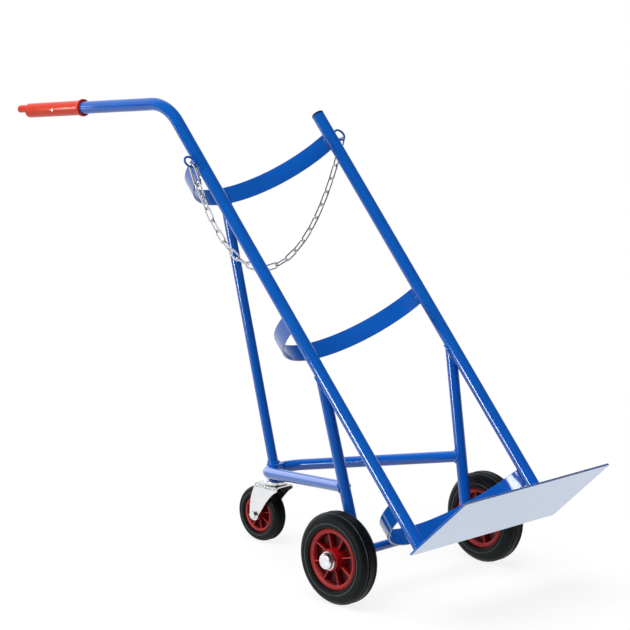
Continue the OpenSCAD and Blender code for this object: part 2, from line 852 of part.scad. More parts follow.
// Sprung gate: a round bar with a flat tongue on the rivet
module hook_gate() {
    bar_from = stub_top + 1;
    tongue_t = slot_w - 2 * air;
    tongue_w = gate_w - 1;
    color(zinc) on_hook() translate([hook_r, 0, 0]) difference() {
        union() {
            translate([0, 0, bar_from]) cylinder(d = gate_w, h = nose_z - air - bar_from, $fn = 32);
            translate([0, 0, gate_pin_z]) rotate([90, 0, 0])
                cylinder(d = gate_w, h = tongue_t, center = true, $fn = 32);
            translate([-tongue_w / 2, -tongue_t / 2, gate_pin_z])
                cube([tongue_w, tongue_t, bar_from + past - gate_pin_z]);
        }
        translate([0, 0, gate_pin_z]) rotate([90, 0, 0])
            cylinder(d = pin_d + 2 * run_play, h = 2 * gate_w, center = true, $fn = 32);
    }
}

module gate_rivet() {
    head_t = 0.8;
    head_d = 4;
    long = hook_wire_d + 2 * head_t;
    color(zinc) on_hook() translate([hook_r, 0, gate_pin_z]) rotate([90, 0, 0]) {
        cylinder(d = pin_d, h = long, center = true, $fn = 32);
        for (s = [0, 1]) mirror([0, 0, s]) translate([0, 0, hook_wire_d / 2 + weld_gap])
            cylinder(d = head_d, h = head_t, $fn = 32);
    }
}

toe_plate();
right_rail();
left_rail();
left_rail_plug();
lower_band();
middle_band();
upper_band();
axle();
axle_collars();
right_leg();
left_leg();
castor_hoop();
castor_boss();
rear_prop();
grip();
grip_rivet();
right_eye();
left_eye();
right_tyre();
right_wheel_centre();
right_bearing_cage();
right_rollers();
right_inner_washer();
right_outer_washer();
right_axle_cap();
left_tyre();
left_wheel_centre();
left_bearing_cage();
left_rollers();
left_inner_washer();
left_outer_washer();
left_axle_cap();
swivel_race();
swivel_balls();
king_bolt();
castor_fork();
castor_sleeve();
castor_bolt();
castor_nut();
castor_spacers();
castor_tyre();
castor_wheel_centre();
chain_links();
snap_hook();
hook_gate();
gate_rivet();
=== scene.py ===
import json
import math

import bmesh
import bpy
import numpy as np
from mathutils import Matrix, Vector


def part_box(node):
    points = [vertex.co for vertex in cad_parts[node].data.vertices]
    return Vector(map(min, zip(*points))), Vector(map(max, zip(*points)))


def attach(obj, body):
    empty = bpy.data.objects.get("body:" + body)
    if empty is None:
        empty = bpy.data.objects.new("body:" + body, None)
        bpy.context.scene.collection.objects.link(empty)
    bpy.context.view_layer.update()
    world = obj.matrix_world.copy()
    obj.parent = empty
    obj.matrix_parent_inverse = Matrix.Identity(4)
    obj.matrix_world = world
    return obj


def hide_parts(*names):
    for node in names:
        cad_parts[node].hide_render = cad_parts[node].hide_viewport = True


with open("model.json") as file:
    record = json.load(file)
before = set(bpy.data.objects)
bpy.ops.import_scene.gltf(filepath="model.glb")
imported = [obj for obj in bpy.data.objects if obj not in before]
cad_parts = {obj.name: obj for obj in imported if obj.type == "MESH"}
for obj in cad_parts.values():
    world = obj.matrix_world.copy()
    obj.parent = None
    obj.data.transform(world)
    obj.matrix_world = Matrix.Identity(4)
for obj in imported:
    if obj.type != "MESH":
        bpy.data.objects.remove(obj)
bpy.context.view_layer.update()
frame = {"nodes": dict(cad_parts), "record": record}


# Rails. Two round steel tubes lean back, and the load lies between them. The right one is bent on a mandrel
# into the handle. Both are welded square on the toe plate and powder coated blue with the rest of the frame.
lean, handle_lean = math.radians(42), math.radians(99)
rail_up = np.array([-math.sin(lean), 0, math.cos(lean)])
rail_ahead = np.array([math.cos(lean), 0, math.sin(lean)])
across = np.array([0, 1.0, 0])
axle_mid = np.mean(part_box("axle"), axis=0)
lower_band_at, axle_behind = 0.098, 0.1941
rail_foot = axle_mid - lower_band_at * rail_up + axle_behind * rail_ahead
rail_y, rail_r = 0.200066, 0.0139
rail_len, left_rail_len = 1.134, 1.042
handle_r, handle_len = 0.09, 0.441
handle_dir = np.array([-math.sin(handle_lean), 0, math.cos(handle_lean)])


def on_rails(up, ahead, side):
    """Point by its height up the rails, its distance ahead of them and its place across."""
    return rail_foot + up * rail_up + ahead * rail_ahead + side * across


def unit(v):
    """Vectors scaled to length 1 along their last axis."""
    v = np.asarray(v, float)
    return v / np.linalg.norm(v, axis=-1, keepdims=True)


def bent(points, radius, steps=24, cuts=12):
    """Path through three points with an arc at the corner. The arc starts on the first side, at the radius
    times the tangent of half the turn before the corner, and its radius turns about its centre towards the
    last side. Both straights are cut into even lengths."""
    a, b, c = (np.asarray(p, float) for p in points)
    u, v = unit(b - a), unit(c - b)
    angle = math.acos(u @ v)
    inward = unit(v - (u @ v) * u)
    start = b - u * radius * math.tan(angle / 2)
    t = np.linspace(0, angle, steps)[:, None]
    arc = start + inward * radius + radius * (np.sin(t) * u - np.cos(t) * inward)
    share = np.linspace(0, 1, cuts)[1:-1, None]
    before = a + (arc[0] - a) * np.vstack([[0], share])
    after = arc[-1] + (c - arc[-1]) * np.vstack([share, [1]])
    return np.vstack([before, arc, after])


def piped(path, radii, sides=40, closed=False):
    """Points of a round pipe: circles of the given radii, each square to the path at its point. The circle's
    first direction is carried along the path by taking out its part along each new tangent."""
    slant = np.array([0.31, 0.87, 0.38])
    path = np.asarray(path, float)
    if closed:
        ahead = unit(np.roll(path, -1, 0) - np.roll(path, 1, 0))
    else:
        ahead = unit(np.gradient(path, axis=0))
    carried = [unit(np.cross(ahead[0], slant))]
    for tangent in ahead[1:]:
        carried.append(unit(carried[-1] - (carried[-1] @ tangent) * tangent))
    e = np.array(carried)
    f = np.cross(ahead, e)
    a = np.linspace(0, 2 * np.pi, sides, endpoint=False)[:, None]
    ring = np.cos(a) * e[:, None] + np.sin(a) * f[:, None]
    return path[:, None] + np.broadcast_to(radii, len(path))[:, None, None] * ring


def bar(path, radius, edge=0.0006):
    """Grid of a solid bar along a path: its pipe, with both ends rounded by an edge and closed."""
    path = np.asarray(path, float)
    u, v = unit(path[1] - path[0]), unit(path[-1] - path[-2])
    rounding = np.array([0.0, 0.3, 1.0])
    start = path[0] + u * edge * rounding[:, None]
    end = path[-1] - v * edge * rounding[::-1, None]
    line = np.vstack([path[:1], start, path[1:-1], end, path[-1:]])
    end_r = radius - edge * rounding[::-1]
    radii = np.concatenate([[0], end_r, np.full(len(path) - 2, radius), end_r[::-1], [0]])
    axis = np.vstack([path[0] - u * edge, start + u * edge, path[1:-1], end, path[-1:] + v * edge])
    rings = piped(axis, 1.0) - axis[:, None]
    return line[:, None] + radii[:, None, None] * rings, False, True


crease = math.radians(40)
merge_dist, sliver_dist = 1e-6, 1e-7


def piece(name, grids, body, slot, material, stands_for=(), **marks):
    """Mesh piece from grids. Each grid is (points, rows joined, columns joined): faces run between
    neighbours, and a joined direction closes on itself. Equal points are merged and faces turned outwards.
    Each mark is a function of the points, kept as an attribute of its name. Normals are weighted by face
    area, so that a flat beside a rounded edge shades as a flat."""
    points, faces, count = [], [], 0
    for grid, rows_join, cols_join in grids:
        rows, cols = grid.shape[:2]
        last_row, last_col = rows - (not rows_join), cols - (not cols_join)
        r, c = np.meshgrid(np.arange(last_row), np.arange(last_col), indexing="ij")
        r2, c2 = (r + 1) % rows, (c + 1) % cols
        quads = np.stack([r * cols + c, r2 * cols + c, r2 * cols + c2, r * cols + c2], -1)
        points.append(grid.reshape(-1, 3))
        faces.append(quads.reshape(-1, 4) + count)
        count += rows * cols
    mesh = bpy.data.meshes.new(name)
    mesh.from_pydata(np.vstack(points).tolist(), [], np.vstack(faces).tolist())
    shell = bmesh.new()
    shell.from_mesh(mesh)
    bmesh.ops.remove_doubles(shell, verts=shell.verts, dist=merge_dist)
    bmesh.ops.dissolve_degenerate(shell, edges=shell.edges, dist=sliver_dist)
    bmesh.ops.recalc_face_normals(shell, faces=shell.faces)
    shell.to_mesh(mesh)
    shell.free()
    mesh.shade_smooth()
    mesh.set_sharp_from_angle(angle=crease)
    place = np.empty(len(mesh.vertices) * 3)
    mesh.vertices.foreach_get("co", place)
    for mark, amount in marks.items():
        kept = mesh.attributes.new(mark, "FLOAT", "POINT")
        kept.data.foreach_set("value", amount(place.reshape(-1, 3)).astype(np.float32))
    made = bpy.data.objects.new(name, mesh)
    bpy.context.scene.collection.objects.link(made)
    made.data.materials.append(material)
    even = made.modifiers.new("flats", "WEIGHTED_NORMAL")
    even.keep_sharp = True
    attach(made, body)
    if stands_for:
        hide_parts(*stands_for)
    return made


def linear(code):
    """sRGB hex to a linear colour: the inverse of the sRGB curve."""
    c = np.array([int(code[i:i + 2], 16) for i in (1, 3, 5)]) / 255
    return (*np.where(c <= 0.04045, c / 12.92, ((c + 0.055) / 1.055) ** 2.4), 1.0)


def connect(tree, node, inputs):
    """Links each input of a node that is given as a socket, and sets the others."""
    for key, value in inputs.items():
        if isinstance(value, bpy.types.NodeSocket):
            tree.links.new(value, node.inputs[key])
        else:
            node.inputs[key].default_value = value


def shade(tree, kind, inputs, out, **fields):
    """Adds a shader node, sets its fields, connects its inputs and gives one of its outputs."""
    made = tree.nodes.new("ShaderNode" + kind)
    for key, value in fields.items():
        setattr(made, key, value)
    connect(tree, made, inputs)
    return made.outputs[out]


def new_material(name):
    """New material, with its node tree, its surface shader and the place on the object."""
    made = bpy.data.materials.new(name)
    made.use_nodes = True
    tree = made.node_tree
    return made, tree, tree.nodes["Principled BSDF"], shade(tree, "TexCoord", {}, "Object")


# The sockets of a Mix node that hold two colours and give the mixed one.
tint_a, tint_b, mixed = 6, 7, 2


def blue_powder_coat():
    """Gloss polyester powder coat over steel: an even royal blue with a hard clear shine and a soft orange
    peel, and grey primer where edges have been knocked. Where the trolley is set down it is drawn as pale
    bluish bare metal with traces of blue: a painted reflection of the bright floor. The real peel is about
    2 mm across, and is drawn at 7 mm so that it shows."""
    made, t, skin, place = new_material("blue_powder_coat")
    cloud_size, peel_size, chip_size = 0.06, 0.007, 0.004
    cloud = shade(t, "TexNoise", {"Vector": place, "Scale": 1 / cloud_size, "Detail": 3}, "Fac")
    peel = shade(t, "TexNoise", {"Vector": place, "Scale": 1 / peel_size, "Detail": 2}, "Fac")
    chips = shade(t, "TexNoise", {"Vector": place, "Scale": 1 / chip_size, "Detail": 6,
                                  "Roughness": 0.7}, "Fac")
    blues = shade(t, "Mix", {"Factor": cloud, tint_a: linear("#095ABC"), tint_b: linear("#0C66CC")},
                  mixed, data_type="RGBA")
    # The toe plate's underside is painted pale bluish white and made bare metal: a painted reflection of the
    # bright floor.
    scuff = shade(t, "Attribute", {}, "Fac", attribute_name="scuff")
    traces = shade(t, "MapRange", {"Value": cloud, "From Min": 0.25, "From Max": 0.75,
                                   "To Min": 0.9, "To Max": 0.96}, "Result")
    rubbed = shade(t, "Math", {0: scuff, 1: traces}, 0, operation="MULTIPLY")
    steel = shade(t, "Mix", {"Factor": rubbed, tint_a: blues, tint_b: linear("#EAF3FF")},
                  mixed, data_type="RGBA")
    wear = shade(t, "Attribute", {}, "Fac", attribute_name="wear")
    knock = shade(t, "Math", {0: wear, 1: chips}, 0, operation="MULTIPLY")
    bare = shade(t, "MapRange", {"Value": knock, "From Min": 0.47, "From Max": 0.53}, "Result")
    coat = shade(t, "Mix", {"Factor": bare, tint_a: steel, tint_b: linear("#8E8B86")},
                 mixed, data_type="RGBA")
    haze = shade(t, "MapRange", {"Value": cloud, "From Min": 0.3, "From Max": 0.7,
                                 "To Min": 0.2, "To Max": 0.3}, "Result")
    matt = shade(t, "Math", {0: rubbed, 1: 0.4, 2: haze}, 0, operation="MULTIPLY_ADD")
    clear = shade(t, "Math", {0: 1.0, 1: rubbed}, 0, operation="SUBTRACT")
    height = shade(t, "Math", {0: peel, 1: bare}, 0, operation="SUBTRACT")
    bump = shade(t, "Bump", {"Height": height, "Strength": 0.004, "Distance": 0.0004}, "Normal")
    connect(t, skin, {"Base Color": coat, "Roughness": matt, "Metallic": rubbed, "Specular IOR Level": 0.0,
                      "Coat Weight": clear, "Coat Roughness": 0.08, "Coat IOR": 1.55, "Normal": bump,
                      "Coat Normal": bump})
    return made


paint = blue_powder_coat()


def painted(name, grids, stands_for=(), **marks):
    """Painted piece of the welded frame."""
    return piece(name, grids, "frame", "blue_paint", paint, stands_for, **marks)


# The load rubs the rails along a line that faces inwards and a little ahead, from the lower band up to the
# left rail's top. The feet are worn where the trolley is set down.
rub_ahead, rub_from, rub_gain, rub_low, rub_most = 0.127, 0.94, 12, 0.1, 0.8
foot_reach, foot_most = 0.012, 0.75


def rail_wear(points):
    """Wear of a rail: it grows as the surface turns to face the line of rubbing, and towards the foot."""
    off = points - rail_foot
    up, ahead = off @ rail_up, off @ rail_ahead
    side = np.abs(points[:, 1]) - rail_y
    facing = (ahead * rub_ahead - side) / rail_r
    rubbed = np.clip((facing - rub_from) * rub_gain, 0, 1) * (up < left_rail_len) * (up > rub_low)
    foot = np.clip(1 - up / foot_reach, 0, 1)
    return np.maximum(rubbed * rub_most, foot * foot_most)


handle_corner = on_rails(rail_len, 0, -rail_y)
handle_end = handle_corner + handle_len * handle_dir
right_path = bent([on_rails(0, 0, -rail_y), handle_corner, handle_end], handle_r)
painted("right_rail_tube", [bar(right_path, rail_r)], ["right_rail"], wear=rail_wear)
left_path = on_rails(0, 0, rail_y) + np.linspace(0, left_rail_len, 14)[:, None] * rail_up
painted("left_rail_tube", [bar(left_path, rail_r)], ["left_rail"], wear=rail_wear)


# Weld beads. Each joint of the frame is closed by a fillet of weld, laid in short overlapping ripples and
# painted with the rest. The first two go round the feet of the rails.
bead_r, thin_bead_r = 0.003, 0.0026
ripple_len, ripple_swell, fewest_ripples, ripple_cuts = 0.0045, 0.16, 4, 6
drift_swell, drift_rate, drift_start = 0.06, 0.7, 1.3


def seam(path, size, closed=True):
    """Grid of a weld bead: a pipe along the joint whose radius swells as a rectified sine, once for each
    ripple's length, and drifts as a slower sine. An open bead draws in to a point as the root of the distance
    to its end."""
    path = np.asarray(path, float)
    loop = np.vstack([path, path[:1]]) if closed else path
    run = np.concatenate([[0], np.cumsum(np.linalg.norm(np.diff(loop, axis=0), axis=1))])
    total = run[-1]
    ripples = max(fewest_ripples, round(total / ripple_len))
    along = np.linspace(0, total, ripples * ripple_cuts, endpoint=not closed)
    line = np.stack([np.interp(along, run, loop[:, k]) for k in range(3)], -1)
    phase = along / total * ripples
    drift = drift_swell * np.sin(drift_rate * phase + drift_start)
    radii = size * (1 + ripple_swell * np.abs(np.sin(np.pi * phase)) + drift)
    if not closed:
        radii = radii * np.sqrt(np.clip(np.minimum(along, total - along) / size, 0, 1))
    return piped(line, radii, sides=10, closed=closed), closed, True


def spokes(axis, sides=72):
    """Directions square to an axis of length 1, evenly round it: cosine times one plus sine times another."""
    slant = np.array([0.3, 0.8, 0.52])
    e = unit(np.cross(axis, slant))
    f = np.cross(axis, e)
    a = np.linspace(0, 2 * np.pi, sides, endpoint=False)[:, None]
    return np.cos(a) * e + np.sin(a) * f


def circle(centre, axis, r):
    """Loop of points at a radius round an axis."""
    return np.asarray(centre, float) + r * spokes(unit(axis))


foot_bead_up = 0.0005
feet = [seam(circle(on_rails(foot_bead_up, 0, s * rail_y), rail_up, rail_r), bead_r) for s in (-1, 1)]
painted("rail_foot_welds", feet)


# Toe plate. A flat steel plate under the load's foot, square to the rails, its edges broken with a file. The
# front corners are knocked back to primer, and the underside carries a painted reflection of the bright
# floor, drawn as pale bluish bare metal.
toe_w, toe_depth, toe_t = 0.446, 0.21, 0.005
toe_corner, toe_edge = 0.003, 0.0009
toe_front, toe_under = toe_depth - rail_r, 0.9 * toe_t
edge_reach, left_knock, right_knock, knock_full = 0.0022, 0.05, 0.012, 1.3


def outline(width, depth, radius, steps=6):
    """Loop of a rectangle with round corners, centred on zero: a quarter circle at each corner in turn."""
    a = np.linspace(0, np.pi / 2, steps)
    quarter = radius * np.stack([np.cos(a), np.sin(a)], -1)
    quarters = [quarter @ np.array([[c, s], [-s, c]]) for c, s in ((1, 0), (0, 1), (-1, 0), (0, -1))]
    x, y = width / 2 - radius, depth / 2 - radius
    return np.vstack([q + m for q, m in zip(quarters, ((x, y), (-x, y), (-x, -y), (x, -y)))])


def slab(loop, thick, edge, steps=4):
    """Points of a flat slab: its outline drawn at each height, pulled in near both faces by a quarter round,
    and closed at the middle of each face."""
    a = np.linspace(0, np.pi / 2, steps)
    inset = edge * (1 - np.sin(a))
    rise = thick / 2 - edge * (1 - np.cos(a))
    pulls = np.concatenate([inset, inset[::-1]])[:, None, None]
    heights = np.concatenate([-rise, rise[::-1]])[:, None, None]
    flat = loop * (1 - pulls / np.abs(loop).max(0))
    rows = np.concatenate([flat, np.broadcast_to(heights, flat[..., :1].shape)], -1)
    return np.concatenate([rows[:1] * (0, 0, 1), rows, rows[-1:] * (0, 0, 1)])


def toe_wear(points):
    """Wear of the toe plate: full on its edges at the front corners, less with the distance from the corner,
    and further along at the left one."""
    to_front = np.abs(toe_front - (points - rail_foot) @ rail_ahead)
    to_side = toe_w / 2 - np.abs(points[:, 1])
    edge = np.clip(1 - np.minimum(to_front, to_side) / edge_reach, 0, 1)
    reach = np.where(points[:, 1] > 0, left_knock, right_knock)
    return edge * np.clip(knock_full - np.hypot(to_front, to_side) / reach, 0, 1)


def toe_scuff(points):
    """Painted reflection of the floor on the toe plate's underside, a plate's thickness below the rails'
    feet.
    """
    return ((points - rail_foot) @ rail_up < -toe_under).astype(float)


plate = slab(outline(toe_depth, toe_w, toe_corner), toe_t, toe_edge)
toe_mid = on_rails(-toe_t / 2, toe_depth / 2 - rail_r, 0)
toe_grid = toe_mid + plate[..., :1] * rail_ahead + plate[..., 1:2] * across + plate[..., 2:] * rail_up
painted("toe_plate_sheet", [(toe_grid, False, True)], ["toe_plate"], wear=toe_wear, scuff=toe_scuff)


# Bands. Three lengths of flat steel bar are rolled to the load's curve and welded between the backs of the
# rails. The lower one also carries the axle.
band_deep = 0.182
band_mid_r = (rail_y ** 2 + band_deep ** 2) / (2 * band_deep)
band_ahead = band_mid_r - band_deep
band_w, band_t, band_corner = 0.04, 0.004, 0.001
band_half = math.radians(80)
bands_at = {"lower_band": lower_band_at, "middle_band": 0.569, "upper_band": 0.98}
band_weld_half, band_weld_in = 0.019, 0.002
band_edge_reach, band_edge_most = 0.0012, 0.55


def band_point(up, angle, out=0.0):
    """Points on a band: by height up the rails, angle from straight behind and distance out of its middle."""
    r = band_mid_r + out
    centre = on_rails(0, band_ahead, 0)
    angle, up = np.broadcast_arrays(np.asarray(angle, float), np.asarray(up, float))
    return (centre + up[..., None] * rail_up - (r * np.cos(angle))[..., None] * rail_ahead
            + (r * np.sin(angle))[..., None] * across)


def band_grid(up):
    """Grid of a band: a flat bar's section with round corners, carried round the arc, its ends closed."""
    section = outline(band_t, band_w, band_corner, steps=4)
    angles = np.linspace(-band_half, band_half, 73)
    rows = band_point(up + section[None, :, 1], angles[:, None], section[None, :, 0])
    shut = [np.broadcast_to(band_point(up, a), rows[0].shape)[None] for a in (-band_half, band_half)]
    return np.vstack([shut[0], rows, shut[1]]), False, True


def band_wear(points):
    """Wear of a band: a trace along its edges."""
    up = (points - rail_foot) @ rail_up
    near = np.min([np.abs(np.abs(up - at) - band_w / 2) for at in bands_at.values()], axis=0)
    return band_edge_most * np.clip(1 - near / band_edge_reach, 0, 1)


for band, at in bands_at.items():
    painted(band + "_bar", [band_grid(at)], [band], wear=band_wear)
    weld_up = np.linspace(at - band_weld_half, at + band_weld_half, 12)
    lines = [band_point(weld_up, s * (band_half - band_weld_in), out)
             for s in (-1, 1) for out in (-band_t / 2, band_t / 2)]
    painted(band + "_welds", [seam(line, thin_bead_r, closed=False) for line in lines])


# Axle. A round steel bar is welded along the back of the lower band. Each end carries a fixed collar, the
# wheel between two washers, and a pressed cap.
wheel_x, wheel_z, wheel_y = axle_mid[0], axle_mid[2], 0.228
axle_r, axle_half = 0.01, 0.2703
axle_line = np.array([wheel_x, 0, wheel_z])
axle_path = axle_line + np.linspace(-axle_half, axle_half, 12)[:, None] * across
painted("axle_bar", [bar(axle_path, axle_r)], ["axle"])
fillet_half, fillet_ahead, fillet_up = 0.03, 0.75, 0.62
to_band = unit(band_point(bands_at["lower_band"], 0.0) - axle_line)
fillet_run = np.linspace(-fillet_half, fillet_half, 12)[:, None] * across
fillets = []
for lift in (-1, 1):
    touch = axle_line + to_band * axle_r * fillet_ahead + lift * rail_up * axle_r * fillet_up
    fillets.append(seam(touch + fillet_run, bead_r, closed=False))
painted("axle_welds", fillets)


# Legs. A steel tube on each side stands on the axle and rises to the rail. Its ends are coped to the round
# bars that they meet and welded all round.
leg_r, leg_short, leg_y, leg_top_at = 0.0125, 0.006, 0.17, 0.436
leg_foot = np.array([wheel_x, leg_y, wheel_z])
leg_head = on_rails(leg_top_at, 0, rail_y)
leg_bead_up, leg_bead_in = 0.8, 0.98
mirrors = {"right": np.array([1, -1, 1]), "left": np.ones(3)}


def cope(foot, along, r, centre, axis, other_r):
    """Loop where a round bar of radius r, starting at foot, meets another: on each of its long lines, the
    distance to the other axis equals the other radius, a square equation with the nearer root taken."""
    along, axis = unit(along), unit(axis)
    start = np.asarray(foot, float) + r * spokes(along)
    off = start - centre
    d = along - (along @ axis) * axis
    o = off - (off @ axis)[:, None] * axis
    qa, qb, qc = d @ d, o @ d, (o * o).sum(1) - other_r ** 2
    root = np.sqrt(np.clip(qb * qb - qa * qc, 0, None))
    return start + ((-qb - root) / qa)[:, None] * along


for side, mirror in mirrors.items():
    low, top = leg_foot * mirror, leg_head * mirror
    leg_up = unit(top - low)
    inset = leg_up * leg_short
    leg_path = low + inset + np.linspace(0, 1, 12)[:, None] * (top - low - 2 * inset)
    painted(side + "_leg_tube", [bar(leg_path, leg_r)], [side + "_leg"])
    head_loop = cope((low + top) / 2, leg_up, leg_r, top, rail_up, rail_r)
    foot_loop = circle(low + leg_up * axle_r * leg_bead_up, leg_up, leg_r * leg_bead_in)
    painted(side + "_leg_welds", [seam(head_loop, bead_r), seam(foot_loop, bead_r)])


# Hoop. One steel tube is bent into a long loop from leg to leg, with its round end about the castor boss, a
# short turned bush. A straight tube props the upper band from the boss. All of it is welded.
hoop_r, hoop_bend = 0.0125, 0.054
hoop_front_z, hoop_apex_z = 0.239, 0.1716
hoop_corner_back, hoop_corner_z = 0.52336, 0.153743
hoop_front = leg_foot + (leg_head - leg_foot) * (hoop_front_z - wheel_z) / (leg_head[2] - wheel_z)
# The lines of the hoop's two sides meet at this corner, behind its round end.
hoop_corner = np.array([wheel_x - hoop_corner_back, 0, hoop_corner_z])
hoop_path = bent([hoop_front * mirrors["right"], hoop_corner, hoop_front], hoop_bend, steps=40)
boss_back, boss_low, boss_top, boss_r, boss_edge = 0.42, 0.1481, 0.1851, 0.017, 0.002
boss_x = wheel_x - boss_back
boss_base = np.array([boss_x, 0, boss_low])
upright = np.array([0, 0, 1.0])


def turned(base, axis, profile, sides=72, closed=False):
    """Grid of a shape turned on a lathe: pairs of distance along the axis and radius, carried round the axis.
    A closed profile joins its last pair to its first."""
    axis = unit(axis)
    profile = np.asarray(profile, float)
    grid = np.asarray(base, float) + profile[:, :1, None] * axis + profile[:, 1:, None] * spokes(axis, sides)
    return grid, closed, True


def eased(profile, radius, steps=5, closed=False):
    """Profile with its corners rounded: each corner becomes a quadratic curve between points set back along
    its two sides by the radius, or by less than half of a short side."""
    side_share = 0.45
    p = np.asarray(profile, float)
    n = len(p)
    t = np.linspace(0, 1, steps)[:, None]
    out = []
    for i in range(n):
        if not closed and i in (0, n - 1):
            out.append(p[i:i + 1])
            continue
        before, after = p[i - 1] - p[i], p[(i + 1) % n] - p[i]
        len_before, len_after = np.linalg.norm(before), np.linalg.norm(after)
        a = p[i] + before / len_before * min(radius, len_before * side_share)
        b = p[i] + after / len_after * min(radius, len_after * side_share)
        out.append((1 - t) ** 2 * a + 2 * t * (1 - t) * p[i] + t ** 2 * b)
    return np.vstack(out)


boss_h = boss_top - boss_low
boss_profile = eased([(0, 0), (0, boss_r), (boss_h, boss_r), (boss_h, 0)], boss_edge)
painted("castor_hoop_tube", [bar(hoop_path, hoop_r)], ["castor_hoop"])
painted("castor_boss_turning", [turned(boss_base, upright, boss_profile)], ["castor_boss"])
prop_r, prop_back = 0.011, 0.008
prop_head = on_rails(bands_at["upper_band"], band_ahead - band_mid_r, 0)
prop_foot = np.array([boss_x - prop_back, 0, boss_top])
prop_path = prop_foot + np.linspace(0, 1, 12)[:, None] * (prop_head - prop_foot)
painted("rear_prop_tube", [bar(prop_path, prop_r)], ["rear_prop"])
joins = []
for side, end, inner in (("right", hoop_path[0], hoop_path[4]), ("left", hoop_path[-1], hoop_path[-5])):
    low, top = leg_foot * mirrors[side], leg_head * mirrors[side]
    joins.append(seam(cope(inner, end - inner, hoop_r, low, top - low, leg_r), bead_r))
prop_bead_up = 0.0006
joins.append(seam(circle(prop_foot + prop_bead_up * upright, upright, prop_r), bead_r))
prop_up = unit(prop_head - prop_foot)
band_axis = on_rails(bands_at["upper_band"], band_ahead, 0)
joins.append(seam(cope(prop_foot, prop_up, prop_r, band_axis, rail_up, band_mid_r + band_t / 2), bead_r))
hug_out, hug_behind, hug_lift = 0.0012, 0.004, 0.0085
hug = circle((boss_x, 0, hoop_apex_z), upright, boss_r + hug_out)
hug = hug[hug[:, 0] < boss_x - hug_behind]
hug = hug[np.argsort(np.arctan2(hug[:, 1], boss_x - hug[:, 0]))]
joins += [seam(hug + lift * upright, thin_bead_r, closed=False) for lift in (-hug_lift, hug_lift)]
painted("undercarriage_welds", joins)


# Chain eyes. A ring bent from round steel wire is welded to the outer side of each rail, level with the upper
# band, and painted with the frame. The chain hangs between the two.
eye_r, eye_wire_r = 0.013, 0.0025
eye_at, eye_y = 0.984, 0.228066
eye_bead_r, eye_bead_half, eye_bead_ahead, eye_bead_in = 0.0016, 0.005, 0.0022, 0.0004
for side, s in (("right", -1), ("left", 1)):
    a = np.linspace(0, 2 * np.pi, 64, endpoint=False)[:, None]
    ring = on_rails(eye_at, 0, s * eye_y) + eye_r * (np.cos(a) * across + np.sin(a) * rail_up)
    touch = on_rails(eye_at, 0, s * (rail_y + rail_r - eye_bead_in))
    line = touch + np.linspace(-eye_bead_half, eye_bead_half, 6)[:, None] * rail_up
    beads = [seam(line + lift * eye_bead_ahead * rail_ahead, eye_bead_r, closed=False) for lift in (-1, 1)]
    wire = piped(ring, eye_wire_r, sides=16, closed=True)
    painted(side + "_eye_ring", [(wire, True, True)] + beads, [side + "_eye"])


# Grip. A soft PVC sleeve, moulded in glossy orange red, is pushed over the handle's end and pinned by one
# rivet. It has a stop flange, a faint parting line and a stepped nose.
grip_r, grip_len, grip_bore, grip_draft, grip_round = 0.0165, 0.184, 0.0145, 0.0004, 0.0025
flange_r, flange_t, flange_slope = 0.0195, 0.007, 0.002
nose_r, nose_len, nose_lift, nose_root, nose_draft, nose_round = 0.009, 0.033, 0.0045, 0.004, 0.0006, 0.002
grip_end = 0.455
parting_h, parting_w, parting_from = 0.00035, 0.0007, 0.012


def moulded_pvc():
    """Glossy PVC: orange red, with slow flow marks and a fine skin that breaks the shine a little. The
    skin's real grain is under 1 mm across, and is drawn at 4 mm so that it shows."""
    made, t, skin, place = new_material("moulded_pvc_orange_red")
    flow_size, fine_size = 0.03, 0.004
    flow = shade(t, "TexNoise", {"Vector": place, "Scale": 1 / flow_size, "Detail": 2}, "Fac")
    fine = shade(t, "TexNoise", {"Vector": place, "Scale": 1 / fine_size, "Detail": 3}, "Fac")
    reds = shade(t, "Mix", {"Factor": flow, tint_a: linear("#D42A0A"), tint_b: linear("#E43A12")},
                 mixed, data_type="RGBA")
    dull = shade(t, "MapRange", {"Value": fine, "To Min": 0.07, "To Max": 0.13}, "Result")
    bump = shade(t, "Bump", {"Height": fine, "Strength": 0.1, "Distance": 0.0004}, "Normal")
    connect(t, skin, {"Base Color": reds, "Roughness": dull, "Specular IOR Level": 0.35, "Normal": bump})
    return made


red_pvc = moulded_pvc()
grip_base = handle_corner + (grip_end - grip_len) * handle_dir
grip_up = unit(np.cross(across, handle_dir))
grip_up = grip_up if grip_up[2] > 0 else -grip_up
grip_profile = eased([(0, grip_bore), (0, flange_r), (flange_t, flange_r), (flange_t + flange_slope, grip_r),
                      (grip_len, grip_r - grip_draft), (grip_len, 0)], grip_round, steps=6)
sleeve = turned(grip_base, handle_dir, grip_profile, sides=96)[0]
off = sleeve - grip_base
from_axis = np.linalg.norm(off - (off @ handle_dir)[..., None] * handle_dir, axis=-1)
# The parting line is a low ridge, a bell curve of the height above the grip's middle, on both sides.
ridge = parting_h * np.exp(-((np.abs(off @ grip_up) / parting_w) ** 2)) * (from_axis > parting_from)
sleeve = sleeve + (ridge * np.sign(off @ across))[..., None] * across
nose_profile = eased([(-nose_root, 0), (-nose_root, nose_r), (nose_len, nose_r - nose_draft), (nose_len, 0)],
                     nose_round)
nose_base = grip_base + grip_len * handle_dir + nose_lift * grip_up
nose = turned(nose_base, handle_dir, nose_profile, sides=64)
piece("grip_sleeve", [(sleeve, False, True), nose], "frame", "red_plastic", red_pvc, ["grip"])


